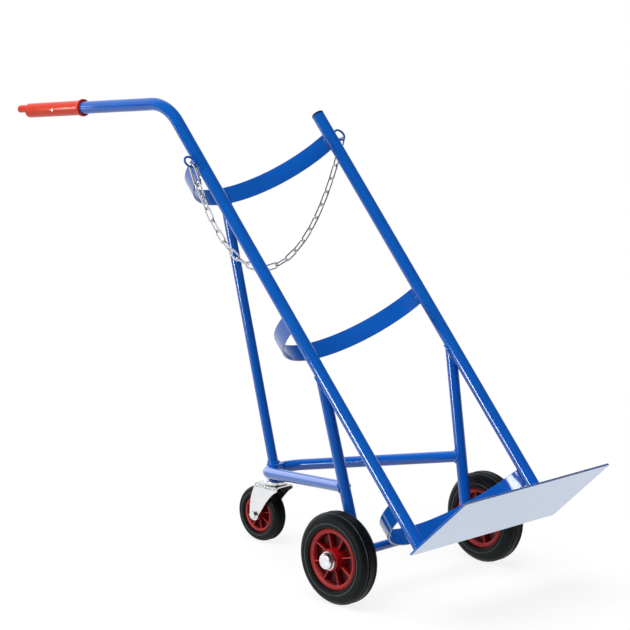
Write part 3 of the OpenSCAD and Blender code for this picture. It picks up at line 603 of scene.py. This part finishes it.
# Wheels. Each is a solid rubber tyre on a red polypropylene centre with a rim ring, a thin web and ribs on
# both sides, running on rollers and held by a pressed cap on the axle's end.
def vulcanised_rubber():
    """Solid rubber: near black with a dry bloom and a fine grain, and painted grey highlights along its
    raised lines. The real grain is under 1 mm across, and is drawn at 2 mm so that it shows."""
    made, t, skin, place = new_material("vulcanised_rubber_black")
    bloom_size, grain_size = 0.025, 0.002
    bloom = shade(t, "TexNoise", {"Vector": place, "Scale": 1 / bloom_size, "Detail": 5}, "Fac")
    grain = shade(t, "TexNoise", {"Vector": place, "Scale": 1 / grain_size, "Detail": 4}, "Fac")
    blacks = shade(t, "Mix", {"Factor": bloom, tint_a: linear("#080B0D"), tint_b: linear("#101416")},
                   mixed, data_type="RGBA")
    # Painted highlights: grey along the tyre's raised lines, brighter where the bloom is brighter.
    buffed = shade(t, "Attribute", {}, "Fac", attribute_name="buffed")
    rubbed = shade(t, "Math", {0: buffed, 1: bloom}, 0, operation="MULTIPLY")
    highlit_black = shade(t, "Mix", {"Factor": rubbed, tint_a: blacks, tint_b: linear("#606A6E")},
                  mixed, data_type="RGBA")
    dry = shade(t, "MapRange", {"Value": bloom, "From Min": 0.3, "From Max": 0.7,
                                "To Min": 0.42, "To Max": 0.6}, "Result")
    bump = shade(t, "Bump", {"Height": grain, "Strength": 0.15, "Distance": 0.0004}, "Normal")
    connect(t, skin, {"Base Color": highlit_black, "Roughness": dry, "Specular IOR Level": 0.16, "Normal": bump})
    return made


def moulded_polypropylene():
    """Moulded polypropylene: signal red with a satin skin and faint flow clouds, painted dark shade deep
    in the pockets and painted pale highlights on the ribs' top edges. The skin's real grain is under
    1 mm across, and is drawn at 3 mm so that it shows."""
    made, t, skin, place = new_material("moulded_polypropylene_red")
    flow_size, fine_size = 0.02, 0.003
    flow = shade(t, "TexNoise", {"Vector": place, "Scale": 1 / flow_size, "Detail": 3}, "Fac")
    fine = shade(t, "TexNoise", {"Vector": place, "Scale": 1 / fine_size, "Detail": 3}, "Fac")
    reds = shade(t, "Mix", {"Factor": flow, tint_a: linear("#940C10"), tint_b: linear("#AE1519")},
                 mixed, data_type="RGBA")
    # Painted shade: dark red deep in the pockets between hub and rim.
    pocket_shade = shade(t, "Attribute", {}, "Fac", attribute_name="pocket_shade")
    pocket_shaded = shade(t, "Mix", {"Factor": pocket_shade, tint_a: reds, tint_b: linear("#3A0507")},
                   mixed, data_type="RGBA")
    # Painted highlights: pale red on the ribs' tops and along the rim's inner edge.
    rib_highlight = shade(t, "Attribute", {}, "Fac", attribute_name="rib_highlight")
    rib_highlit = shade(t, "Mix", {"Factor": rib_highlight, tint_a: pocket_shaded, tint_b: linear("#CC5A5A")},
                  mixed, data_type="RGBA")
    satin = shade(t, "MapRange", {"Value": fine, "To Min": 0.3, "To Max": 0.46}, "Result")
    bump = shade(t, "Bump", {"Height": fine, "Strength": 0.1, "Distance": 0.0003}, "Normal")
    connect(t, skin, {"Base Color": rib_highlit, "Roughness": satin, "Specular IOR Level": 0.3, "Normal": bump})
    return made


def zinc_plate():
    """Bright zinc plate on steel: pale silver with a soft spangle, a fine skin and a bluish passivation. The
    skin's real grain is under 1 mm across, and is drawn at 2.5 mm so that it shows."""
    made, t, skin, place = new_material("bright_zinc_plate")
    spangle_size, fine_size = 0.012, 0.0025
    spangle = shade(t, "TexNoise", {"Vector": place, "Scale": 1 / spangle_size, "Detail": 4}, "Fac")
    fine = shade(t, "TexNoise", {"Vector": place, "Scale": 1 / fine_size, "Detail": 3}, "Fac")
    greys = shade(t, "Mix", {"Factor": spangle, tint_a: linear("#DADDE0"), tint_b: linear("#F2F3F3")},
                  mixed, data_type="RGBA")
    satin = shade(t, "MapRange", {"Value": spangle, "From Min": 0.3, "From Max": 0.7,
                                  "To Min": 0.2, "To Max": 0.36}, "Result")
    bump = shade(t, "Bump", {"Height": fine, "Strength": 0.08, "Distance": 0.0003}, "Normal")
    connect(t, skin, {"Base Color": greys, "Roughness": satin, "Metallic": 1.0, "Normal": bump})
    return made


rubber = vulcanised_rubber()
red_centre = moulded_polypropylene()
zinc = zinc_plate()


def tyre_profile(out_r, rim_r, half, seat, bead, shoulder, grooves, groove_w, groove_deep):
    """Closed profile of a tyre from side to side: bead, sidewall with a raised ring, then a crown of a
    quarter round and a flat, from which grooves are taken. Each groove has a small raised lip on both sides,
    a bell curve of the distance to its edge."""
    ring_h, ring_w = half * 0.06, half * 0.1
    lip_h, lip_off, lip_w, groove_slope, side_round = 0.0007, 0.0006, 0.0005, 0.0004, 0.0007
    wall, crown_r = half - ring_h, out_r - lip_h
    ring_at = rim_r + bead + (out_r - rim_r - bead) * 0.15
    knee = (seat + (half - seat) * 0.7, rim_r + bead * 0.55)
    side = [(seat, rim_r), knee, (wall, rim_r + bead), (wall, ring_at - ring_w), (half, ring_at - ring_w / 2),
            (half, ring_at + ring_w / 2), (wall, ring_at + ring_w)]
    a = np.linspace(0, np.pi / 2, 48)
    x = np.concatenate([wall - shoulder * (1 - np.cos(a)), np.linspace(wall - shoulder, 0, 40)[1:]])
    r = np.concatenate([crown_r - shoulder * (1 - np.sin(a)), np.full(39, crown_r)])
    off = np.abs(x[:, None] - np.asarray(grooves)).min(1)
    r = r - groove_deep * np.clip((groove_w / 2 - off) / groove_slope, 0, 1)
    r = r + lip_h * np.exp(-((off - groove_w / 2 - lip_off) / lip_w) ** 2)
    first = np.vstack([eased(side, side_round, steps=4), np.stack([x, r], -1)])
    return np.vstack([first, first[-2::-1] * (-1, 1)])


def buffed_lines(middle, lines):
    """Gives a tyre's painted highlight: 1 on each of its raised lines, which are pairs of radius and distance
    from the wheel's middle plane, and 0 from about 2 mm away."""
    full, fade = 1.4, 0.0014

    def amount(points):
        off = points - middle
        radius, aside = np.hypot(off[:, 0], off[:, 2]), np.abs(off[:, 1])
        near = np.min([np.hypot(radius - r, aside - y) for r, y in lines], axis=0)
        return np.clip(full - near / fade, 0, 1)
    return amount


def pocket_marks(middle, hub_r, dish_r, web, top):
    """Gives a wheel centre's marks: painted shade grows with the depth below the ribs' tops in the pockets
    between hub and rim, and a painted highlight with the height above them there and along the rim's inner
    edge."""
    shade_most, shade_gain, highlight_most, highlight_reach, rim_reach = 0.85, 3, 0.6, 0.001, 0.0015

    def placed(points):
        off = points - middle
        radius = np.hypot(off[:, 0], off[:, 2])
        return np.abs(off[:, 1]), (radius > hub_r) & (radius < dish_r), np.abs(radius - dish_r) < rim_reach

    def pocket_shade(points):
        aside, inside, _ = placed(points)
        return shade_most * inside * np.clip((top - aside) / (top - web) * shade_gain, 0, 1)

    def rib_highlight(points):
        aside, inside, rim = placed(points)
        return highlight_most * (inside | rim) * np.clip((aside - top) / highlight_reach, 0, 1)
    return {"pocket_shade": pocket_shade, "rib_highlight": rib_highlight}


def centre_profile(rim_r, rim_half, ring_t, hub_r, hub_half, bore_r, web_half):
    """Closed profile of a wheel centre: bore, hub end, hub side, web, inside of the rim, rim face, then
    across the tyre seat and back down the other side."""
    draft, fillet, chamfer, chamfer_down, corner = 0.001, 0.002, 0.002, 0.004, 0.0018
    dish = rim_r - ring_t
    half = [(hub_half, bore_r), (hub_half, hub_r - draft), (web_half, hub_r), (web_half, dish - fillet),
            (rim_half - draft, dish), (rim_half, rim_r - chamfer_down), (rim_half - chamfer, rim_r)]
    return eased(half + [(-x, r) for x, r in reversed(half)], corner, closed=True)


def rib_grid(base, axis, out, r_in, r_out, low, high_in, high_out, thick):
    """Grid of one rib: a wall that runs out from the hub, with a rounded top edge that rises towards the rim
    as a power of the way out. Its sides draw in for the mould, by half widths at shares of the height."""
    rise_power, top_round = 1.5, 0.08
    half_widths, height_shares = np.array([0.7, 0.56, 0.53]), np.array([0, 0.8, 0.88])
    side = np.cross(axis, out)
    r = np.linspace(r_in, r_out, 10)
    top = high_in + (high_out - high_in) * ((r - r_in) / (r_out - r_in)) ** rise_power
    a = np.linspace(0, np.pi, 9)
    w = thick * np.concatenate([half_widths, np.cos(a) / 2, -half_widths[::-1]])
    h = np.concatenate([height_shares, 1 - top_round * (1 - np.sin(a)), height_shares[::-1]])
    rows = (np.asarray(base) + r[:, None, None] * out + w[None, :, None] * side
            + (low + (top[:, None] - low) * h[None])[..., None] * axis)
    shut = [np.broadcast_to(rows[k].mean(0), rows[k].shape)[None] for k in (0, -1)]
    return np.vstack([shut[0], rows, shut[1]]), False, True


rib_n = 8


def wheel(side, middle, out, sides, tyre, raised, centre, rib, pocket):
    """Tyre and ribbed centre of a wheel: two profiles turned about the axle, and ribs round each face."""
    body = side + "_wheel"
    ring = turned(middle, out, tyre_profile(**tyre), sides, closed=True)
    # The tyre's raised lines carry painted highlights.
    piece(side + "_rubber_tyre", [ring], body, "tyre_rubber", rubber, [side + "_tyre"],
          buffed=buffed_lines(middle, raised))
    disc = turned(middle, out, centre_profile(**centre), sides, closed=True)
    ribs = [rib_grid(middle, face * out, spokes(face * out, rib_n)[k], **rib)
            for k in range(rib_n) for face in (1, -1)]
    # The centre carries painted shade in its pockets and painted highlights on its rib tops.
    piece(body + "_moulding", [disc] + ribs, body, "red_plastic", red_centre, [side + "_wheel_centre"],
          **pocket_marks(middle, **pocket))


main_tyre = dict(out_r=0.1, rim_r=0.0671, half=0.025, seat=0.021, bead=0.006, shoulder=0.016,
                 grooves=(-0.01, 0.01), groove_w=0.003, groove_deep=0.002)
main_raised = [(0.0771, 0.025), (0.0985, 0.0124)]
main_centre = dict(rim_r=0.067, rim_half=0.021, ring_t=0.01, hub_r=0.025, hub_half=0.03, bore_r=0.0153,
                   web_half=0.003)
main_rib = dict(r_in=0.024, r_out=0.0585, low=0.002, high_in=0.0165, high_out=0.0185, thick=0.0024)
main_pocket = dict(hub_r=0.0255, dish_r=0.0572, web=0.003, top=0.0148)
main_sides, side_play, washer_t, cap_round = 128, 0.0004, 0.0025, 0.0016
cap_from_mid = main_centre["hub_half"] + side_play + washer_t
# The cap's profile: distance out from the washer and radius, from its bore round the flange to the domed end.
cap_profile = eased([(0, 0.0102), (0, 0.019), (0.0016, 0.019), (0.0022, 0.0176), (0.0086, 0.0172),
                     (0.0108, 0.0146), (0.0113, 0.008), (0.0115, 0)], cap_round)
for side, s in (("right", -1), ("left", 1)):
    wheel_mid = np.array([wheel_x, s * wheel_y, wheel_z])
    wheel(side, wheel_mid, s * across, main_sides, main_tyre, main_raised, main_centre, main_rib, main_pocket)
    cap = turned(wheel_mid + s * across * cap_from_mid, s * across, cap_profile)
    piece(side + "_pressed_cap", [cap], "frame", "zinc", zinc, [side + "_axle_cap"])


# Castor head. A race under the boss is held by the king bolt, and the fork's crown turns below it on a ring
# of balls. Race and fork are pressed from steel sheet and plated with bright zinc.
castor_trail, castor_z, crown_z, race_round = 0.043, 0.0625, 0.1375, 0.0012
castor_x = boss_x - castor_trail
# The race's profile: height from the boss and radius, from its bore out along the top and down to the skirt.
race_profile = eased([(0, 0.0061), (0, 0.024), (-0.002, 0.026), (-0.0092, 0.026), (-0.0098, 0.0235),
                      (-0.0045, 0.0225), (-0.004, 0.0061)], race_round, closed=True)
piece("swivel_race_pressing", [turned(boss_base, upright, race_profile, closed=True)], "frame", "zinc", zinc,
      ["swivel_race"])
fork_y, fork_t, fork_bend, fork_end_r, fork_edge = 0.0255, 0.003, 0.007, 0.013, 0.0007
# Places of the cheeks' front and back edges, from the king bolt, at depths below the crown.
edge_depth = [0.0, 0.01, 0.018, 0.027, 0.039, 0.053, 0.066, 0.075]
front_edge = [0.028, 0.028, 0.016, 0.007, -0.004, -0.014, -0.023, -0.03]
back_edge = [-0.042, -0.042, -0.0458, -0.0497, -0.053, -0.0552, -0.056, -0.056]


def fork_surface(rows=72, over=25, cols=17):
    """Middle surface of the fork: a strip folded over a crown with two round bends. Down each cheek the front
    and back edges draw in from the crown to the axle's round end."""
    flat_half = fork_y - fork_bend
    quarter = fork_bend * np.pi / 2
    drop = crown_z - fork_t / 2 - fork_bend - (castor_z - fork_end_r)
    stops = np.concatenate([[0], np.cumsum([drop, quarter, 2 * flat_half, quarter, drop])])
    s = np.concatenate([np.linspace(0, drop, rows)[:-1], np.linspace(stops[1], stops[4], over),
                        np.linspace(stops[4], stops[5], rows)[1:]])
    from_top = np.abs(s - stops[5] / 2)
    arc = np.clip((from_top - flat_half) / fork_bend, 0, np.pi / 2)
    down = np.clip(from_top - flat_half - quarter, 0, None)
    y = np.sign(s - stops[5] / 2) * (np.minimum(from_top, flat_half) + fork_bend * np.sin(arc))
    z = crown_z - fork_t / 2 - fork_bend * (1 - np.cos(arc)) - down
    rise = np.clip(z - castor_z, -fork_end_r, fork_end_r)
    round_end = np.sqrt(np.clip(fork_end_r ** 2 - rise ** 2, 0, None))
    below = z < castor_z
    front = np.where(below, -castor_trail + round_end, np.interp(crown_z - z, edge_depth, front_edge))
    back = np.where(below, -castor_trail - round_end, np.interp(crown_z - z, edge_depth, back_edge))
    x = boss_x + front[:, None] + (back - front)[:, None] * np.linspace(0, 1, cols)
    return np.stack([x, np.broadcast_to(y[:, None], x.shape), np.broadcast_to(z[:, None], x.shape)], -1)


fork = piece("castor_fork_pressing", [(fork_surface(), False, False)], "castor", "zinc", zinc,
             ["castor_fork"])
sheet_wall = fork.modifiers.new("wall", "SOLIDIFY")
sheet_wall.thickness, sheet_wall.offset = fork_t, 0
soft_edge = fork.modifiers.new("edges", "BEVEL")
soft_edge.width, soft_edge.segments, soft_edge.limit_method = fork_edge, 2, "ANGLE"
# The weighted normals are taken last, on the finished wall.
fork.modifiers.move(0, 2)


# Castor wheel. It is built like the main wheels, a solid rubber tyre on a ribbed polypropylene centre, and
# runs on a sleeve that the axle bolt clamps between the fork's cheeks.
small_tyre = dict(out_r=0.0625, rim_r=0.0421, half=0.018, seat=0.015, bead=0.004, shoulder=0.009,
                  grooves=(-0.006, 0.0, 0.006), groove_w=0.0022, groove_deep=0.0014)
small_raised = [(0.0486, 0.018)]
small_centre = dict(rim_r=0.042, rim_half=0.015, ring_t=0.007, hub_r=0.015, hub_half=0.022, bore_r=0.0076,
                    web_half=0.0025)
small_rib = dict(r_in=0.0145, r_out=0.036, low=0.0015, high_in=0.0115, high_out=0.013, thick=0.0019)
small_pocket = dict(hub_r=0.0155, dish_r=0.0352, web=0.0025, top=0.0103)
small_sides = 112
castor_mid = np.array([castor_x, 0, castor_z])
wheel("castor", castor_mid, -across, small_sides, small_tyre, small_raised, small_centre, small_rib,
      small_pocket)


# Chain. Short welded links of bright zinc-plated wire hang in a curve behind the rails, from the left eye to
# the hook in the right eye. Each link has a slight swelling at its butt weld.
wire_r, link_in, link_gap, link_n = 0.002, 0.032, 0.008, 22
play, hook_wire, hook_in, eye_wire = 0.0009, 0.006, 0.048, 2 * eye_wire_r
link_crown, hook_crown = (link_in + 2 * wire_r) / 2, (hook_in + hook_wire) / 2
first_step = link_crown - (eye_wire + 2 * wire_r) / 2 - play
link_step = link_in - play
hook_step = link_crown + hook_crown - (2 * wire_r + hook_wire) / 2 - play
last_step = hook_crown - (eye_wire + hook_wire) / 2 - play
chain_len = first_step + (link_n - 1) * link_step + hook_step + last_step
# The radius of the hanging curve at its lowest point, found from that length and the distance of the eyes.
chain_a = 0.130724
chain_pin = on_rails(eye_at - eye_r, 0, 0)
weld_swell, weld_len, weld_side = 0.1, 0.0022, 0.9


def link_grid(k):
    """Grid of one link: a stadium of wire, placed where the hanging curve, a hyperbolic cosine, is at its
    middle and turned a quarter for every other link."""
    s = chain_len / 2 - first_step - k * link_step
    y = chain_a * math.asinh(s / chain_a)
    eye_z = chain_a * math.cosh(eye_y / chain_a)
    centre = chain_pin + (0, y, chain_a * math.cosh(y / chain_a) - eye_z)
    slope = math.atan2(s, chain_a)
    along = np.array([0, math.cos(slope), math.sin(slope)])
    wide = np.array([1.0, 0, 0]) if k % 2 == 0 else np.cross(along, [1.0, 0, 0])
    r = link_gap / 2 + wire_r
    straight = link_in / 2 + wire_r - r
    a = np.linspace(-np.pi / 2, np.pi / 2, 12)
    bow = np.stack([straight + r * np.cos(a), r * np.sin(a)], -1)
    run = np.linspace(straight, -straight, 9)[1:-1]
    flank = np.stack([run, np.full_like(run, r)], -1)
    loop = np.vstack([bow, flank, -bow, -flank])
    swell = 1 + weld_swell * np.exp(-(loop[:, 0] / weld_len) ** 2) * (loop[:, 1] > r * weld_side)
    path = centre + loop[:, :1] * along + loop[:, 1:] * wide
    return piped(path, wire_r * swell, sides=12, closed=True), True, True


piece("chain_wire_links", [link_grid(k) for k in range(link_n)], "chain", "zinc", zinc, ["chain_links"])


# Small turned and pressed parts keep their own shapes: washers, collars, bolts, balls, hook and rivets in
# zinc, spacers and the rail plug in black polyethylene, and the bearing cages in nylon.
def moulded_polyethylene():
    """Moulded polyethylene: black, satin, with a fine spark-eroded grain. The real grain is under 1 mm
    across, and is drawn at 2 mm so that it shows."""
    made, t, skin, place = new_material("moulded_polyethylene_black")
    grain_size = 0.002
    grain = shade(t, "TexNoise", {"Vector": place, "Scale": 1 / grain_size, "Detail": 4}, "Fac")
    blacks = shade(t, "Mix", {"Factor": grain, tint_a: linear("#121315"), tint_b: linear("#202226")},
                   mixed, data_type="RGBA")
    satin = shade(t, "MapRange", {"Value": grain, "To Min": 0.35, "To Max": 0.55}, "Result")
    bump = shade(t, "Bump", {"Height": grain, "Strength": 0.12, "Distance": 0.0003}, "Normal")
    connect(t, skin, {"Base Color": blacks, "Roughness": satin, "Normal": bump})
    return made


def moulded_nylon():
    """Moulded nylon: warm ivory, waxy, with faint flow clouds."""
    made, t, skin, place = new_material("moulded_nylon_ivory")
    flow_size = 0.008
    flow = shade(t, "TexNoise", {"Vector": place, "Scale": 1 / flow_size, "Detail": 3}, "Fac")
    ivories = shade(t, "Mix", {"Factor": flow, tint_a: linear("#CFC7B0"), tint_b: linear("#E6E0CE")},
                    mixed, data_type="RGBA")
    waxy = shade(t, "MapRange", {"Value": flow, "To Min": 0.3, "To Max": 0.5}, "Result")
    connect(t, skin, {"Base Color": ivories, "Roughness": waxy})
    return made


finish_of = {"zinc": zinc, "black_plastic": moulded_polyethylene(), "nylon": moulded_nylon(),
             "blue_paint": paint, "red_plastic": red_centre, "tyre_rubber": rubber}
for row in frame["record"]["subparts"]:
    node = frame["nodes"][row["node"]]
    node.data.materials.clear()
    node.data.materials.append(finish_of[row["material_slot"]])


# Studio. A plain pale floor lies before a white wall of light, which stands behind the handle and fades to a
# dim room in front of the toe. The camera sees both as white.
sky = bpy.data.worlds.new("studio_sky")
bpy.context.scene.world = sky
sky.use_nodes = True
sky_tree = sky.node_tree
to_wall = (-0.95, 0.31, 0.0)
way = shade(sky_tree, "TexCoord", {}, "Generated")
rearward = shade(sky_tree, "VectorMath", {0: way, 1: to_wall}, "Value", operation="DOT_PRODUCT")
wall = shade(sky_tree, "MapRange", {"Value": rearward, "From Min": 0.25, "From Max": 0.75, "To Min": 0.06,
                                    "To Max": 1.0}, "Result", interpolation_type="SMOOTHSTEP")
sky_seen = shade(sky_tree, "LightPath", {}, "Is Camera Ray")
sky_level = shade(sky_tree, "Math", {0: wall, 1: sky_seen}, 0, operation="MAXIMUM")
connect(sky_tree, sky_tree.nodes["Background"], {"Color": (1, 1, 1, 1), "Strength": sky_level})

# The floor takes the object's shadow. In reflections it is white behind and dark on the camera's side.
floor_half, bounce_grey, paper_white, most_glow = 40.0, 0.35, 0.97, 0.85
floor_mesh = bpy.data.meshes.new("floor")
floor_corners = [(x * floor_half, y * floor_half, 0) for x, y in ((-1, -1), (1, -1), (1, 1), (-1, 1))]
floor_mesh.from_pydata(floor_corners, [], [(0, 1, 2, 3)])
floor = bpy.data.objects.new("floor", floor_mesh)
bpy.context.scene.collection.objects.link(floor)
paper, tree, skin, place = new_material("studio_floor")
to_back = (-0.5, 0.87, 0.0)
behind = shade(tree, "VectorMath", {0: place, 1: to_back}, "Value", operation="DOT_PRODUCT")
far_paper = shade(tree, "MapRange", {"Value": behind, "From Min": -1.0, "From Max": -0.5, "To Min": 0.08,
                                     "To Max": 1.0}, "Result")
seen, mirror, lit = (shade(tree, "LightPath", {}, ray)
                     for ray in ("Is Camera Ray", "Is Glossy Ray", "Is Diffuse Ray"))
mirrored = shade(tree, "Math", {0: mirror, 1: far_paper}, 0, operation="MULTIPLY")
white = shade(tree, "Math", {0: seen, 1: mirrored}, 0, operation="MAXIMUM")
bounce = shade(tree, "Math", {0: lit, 1: bounce_grey}, 0, operation="MULTIPLY")
grey = shade(tree, "Math", {0: white, 1: paper_white, 2: bounce}, 0, operation="MULTIPLY_ADD")
connect(tree, skin, {"Base Color": grey, "Roughness": 0.9, "Specular IOR Level": 0.0})
glow = shade(tree, "Emission", {"Color": (1, 1, 1, 1), "Strength": 1.0}, "Emission")
glow_share = shade(tree, "Math", {0: white, 1: most_glow}, 0, operation="MULTIPLY")
surface = shade(tree, "MixShader", {0: glow_share, 1: skin.outputs["BSDF"], 2: glow}, "Shader")
connect(tree, tree.nodes["Material Output"], {"Surface": surface})
floor.data.materials.append(paper)


def put_up(data, back, right, place=(0, 0, 0)):
    """Puts a lamp or the camera in the scene, facing against one direction with its width along another."""
    made = bpy.data.objects.new(data.name, data)
    bpy.context.scene.collection.objects.link(made)
    pose = np.eye(4)
    pose[:3, :3] = np.stack([right, np.cross(back, right), back], 1)
    pose[:3, 3] = place
    made.matrix_world = Matrix(pose.tolist())
    return made


def softbox(name, width, height, power, back, right, place):
    """Puts up a rectangular lamp that the camera doesn't see."""
    light = bpy.data.lights.new(name, "AREA")
    light.shape, light.size, light.size_y, light.energy = "RECTANGLE", width, height, power
    lamp = put_up(light, back, right, place)
    lamp.visible_camera = False
    return lamp


# The key stands 4 m from the foot of the near rail, and that tube mirrors it as a thin bright line.
key_dist, key_up = 4.0, 0.1
key_back = unit((-0.385, -0.92, 0.05))
key_place = on_rails(key_up, 0, -rail_y) + key_dist * key_back
softbox("near_key", width=1.5, height=0.55, power=48, back=key_back,
        right=unit(np.cross(rail_up, key_back)), place=key_place)

# A narrow strip lamp, set square to the grip, puts a short pale highlight beside its flange.
box_dist, box_along_grip = 1.5, 0.052
box_back = unit((-0.758, -0.649, -0.03))
box_along = unit(handle_dir - (handle_dir @ box_back) * box_back)
box_place = grip_base + box_along_grip * handle_dir + box_dist * box_back
softbox("grip_softbox", width=0.05, height=0.8, power=1.6, back=box_back, right=box_along, place=box_place)

# A panel behind the handle only shows as a reflection, and two broad fills only as even light. Each fill has
# the direction it comes from, its strength and its spread in degrees.
panel = softbox("rear_panel", width=2.5, height=1.9, power=24, back=(-1.0, 0.0, 0.0), right=(0.0, -1.0, 0.0),
                place=(-4.0, 0.55, 0.95))
panel.visible_diffuse = False
fills = {"over_fill": ((-0.05, -0.3, 1.0), 2.6, 50), "front_fill": ((0.62, -0.5, 0.6), 0.2, 40)}
for name, (towards, strength, spread) in fills.items():
    fill = bpy.data.lights.new(name, "SUN")
    fill.energy, fill.angle = strength, math.radians(spread)
    put_up(fill, unit(towards), unit(np.cross(across, towards))).visible_glossy = False

# A long lens at the height and turn of the photograph.
lens = bpy.data.cameras.new("camera")
lens.lens, lens.sensor_width, lens.clip_end = 228.571, 36, 60
turn, rise = math.radians(44.867), math.radians(12.8209)
back = np.array([math.sin(turn) * math.cos(rise), -math.cos(turn) * math.cos(rise), math.sin(rise)])
right = np.array([math.cos(turn), math.sin(turn), 0])
camera_place = (wheel_x + 5.679929, -6.005582, 2.468139)
bpy.context.scene.camera = put_up(lens, back, right, camera_place)
bpy.context.scene.view_settings.view_transform = "Standard"
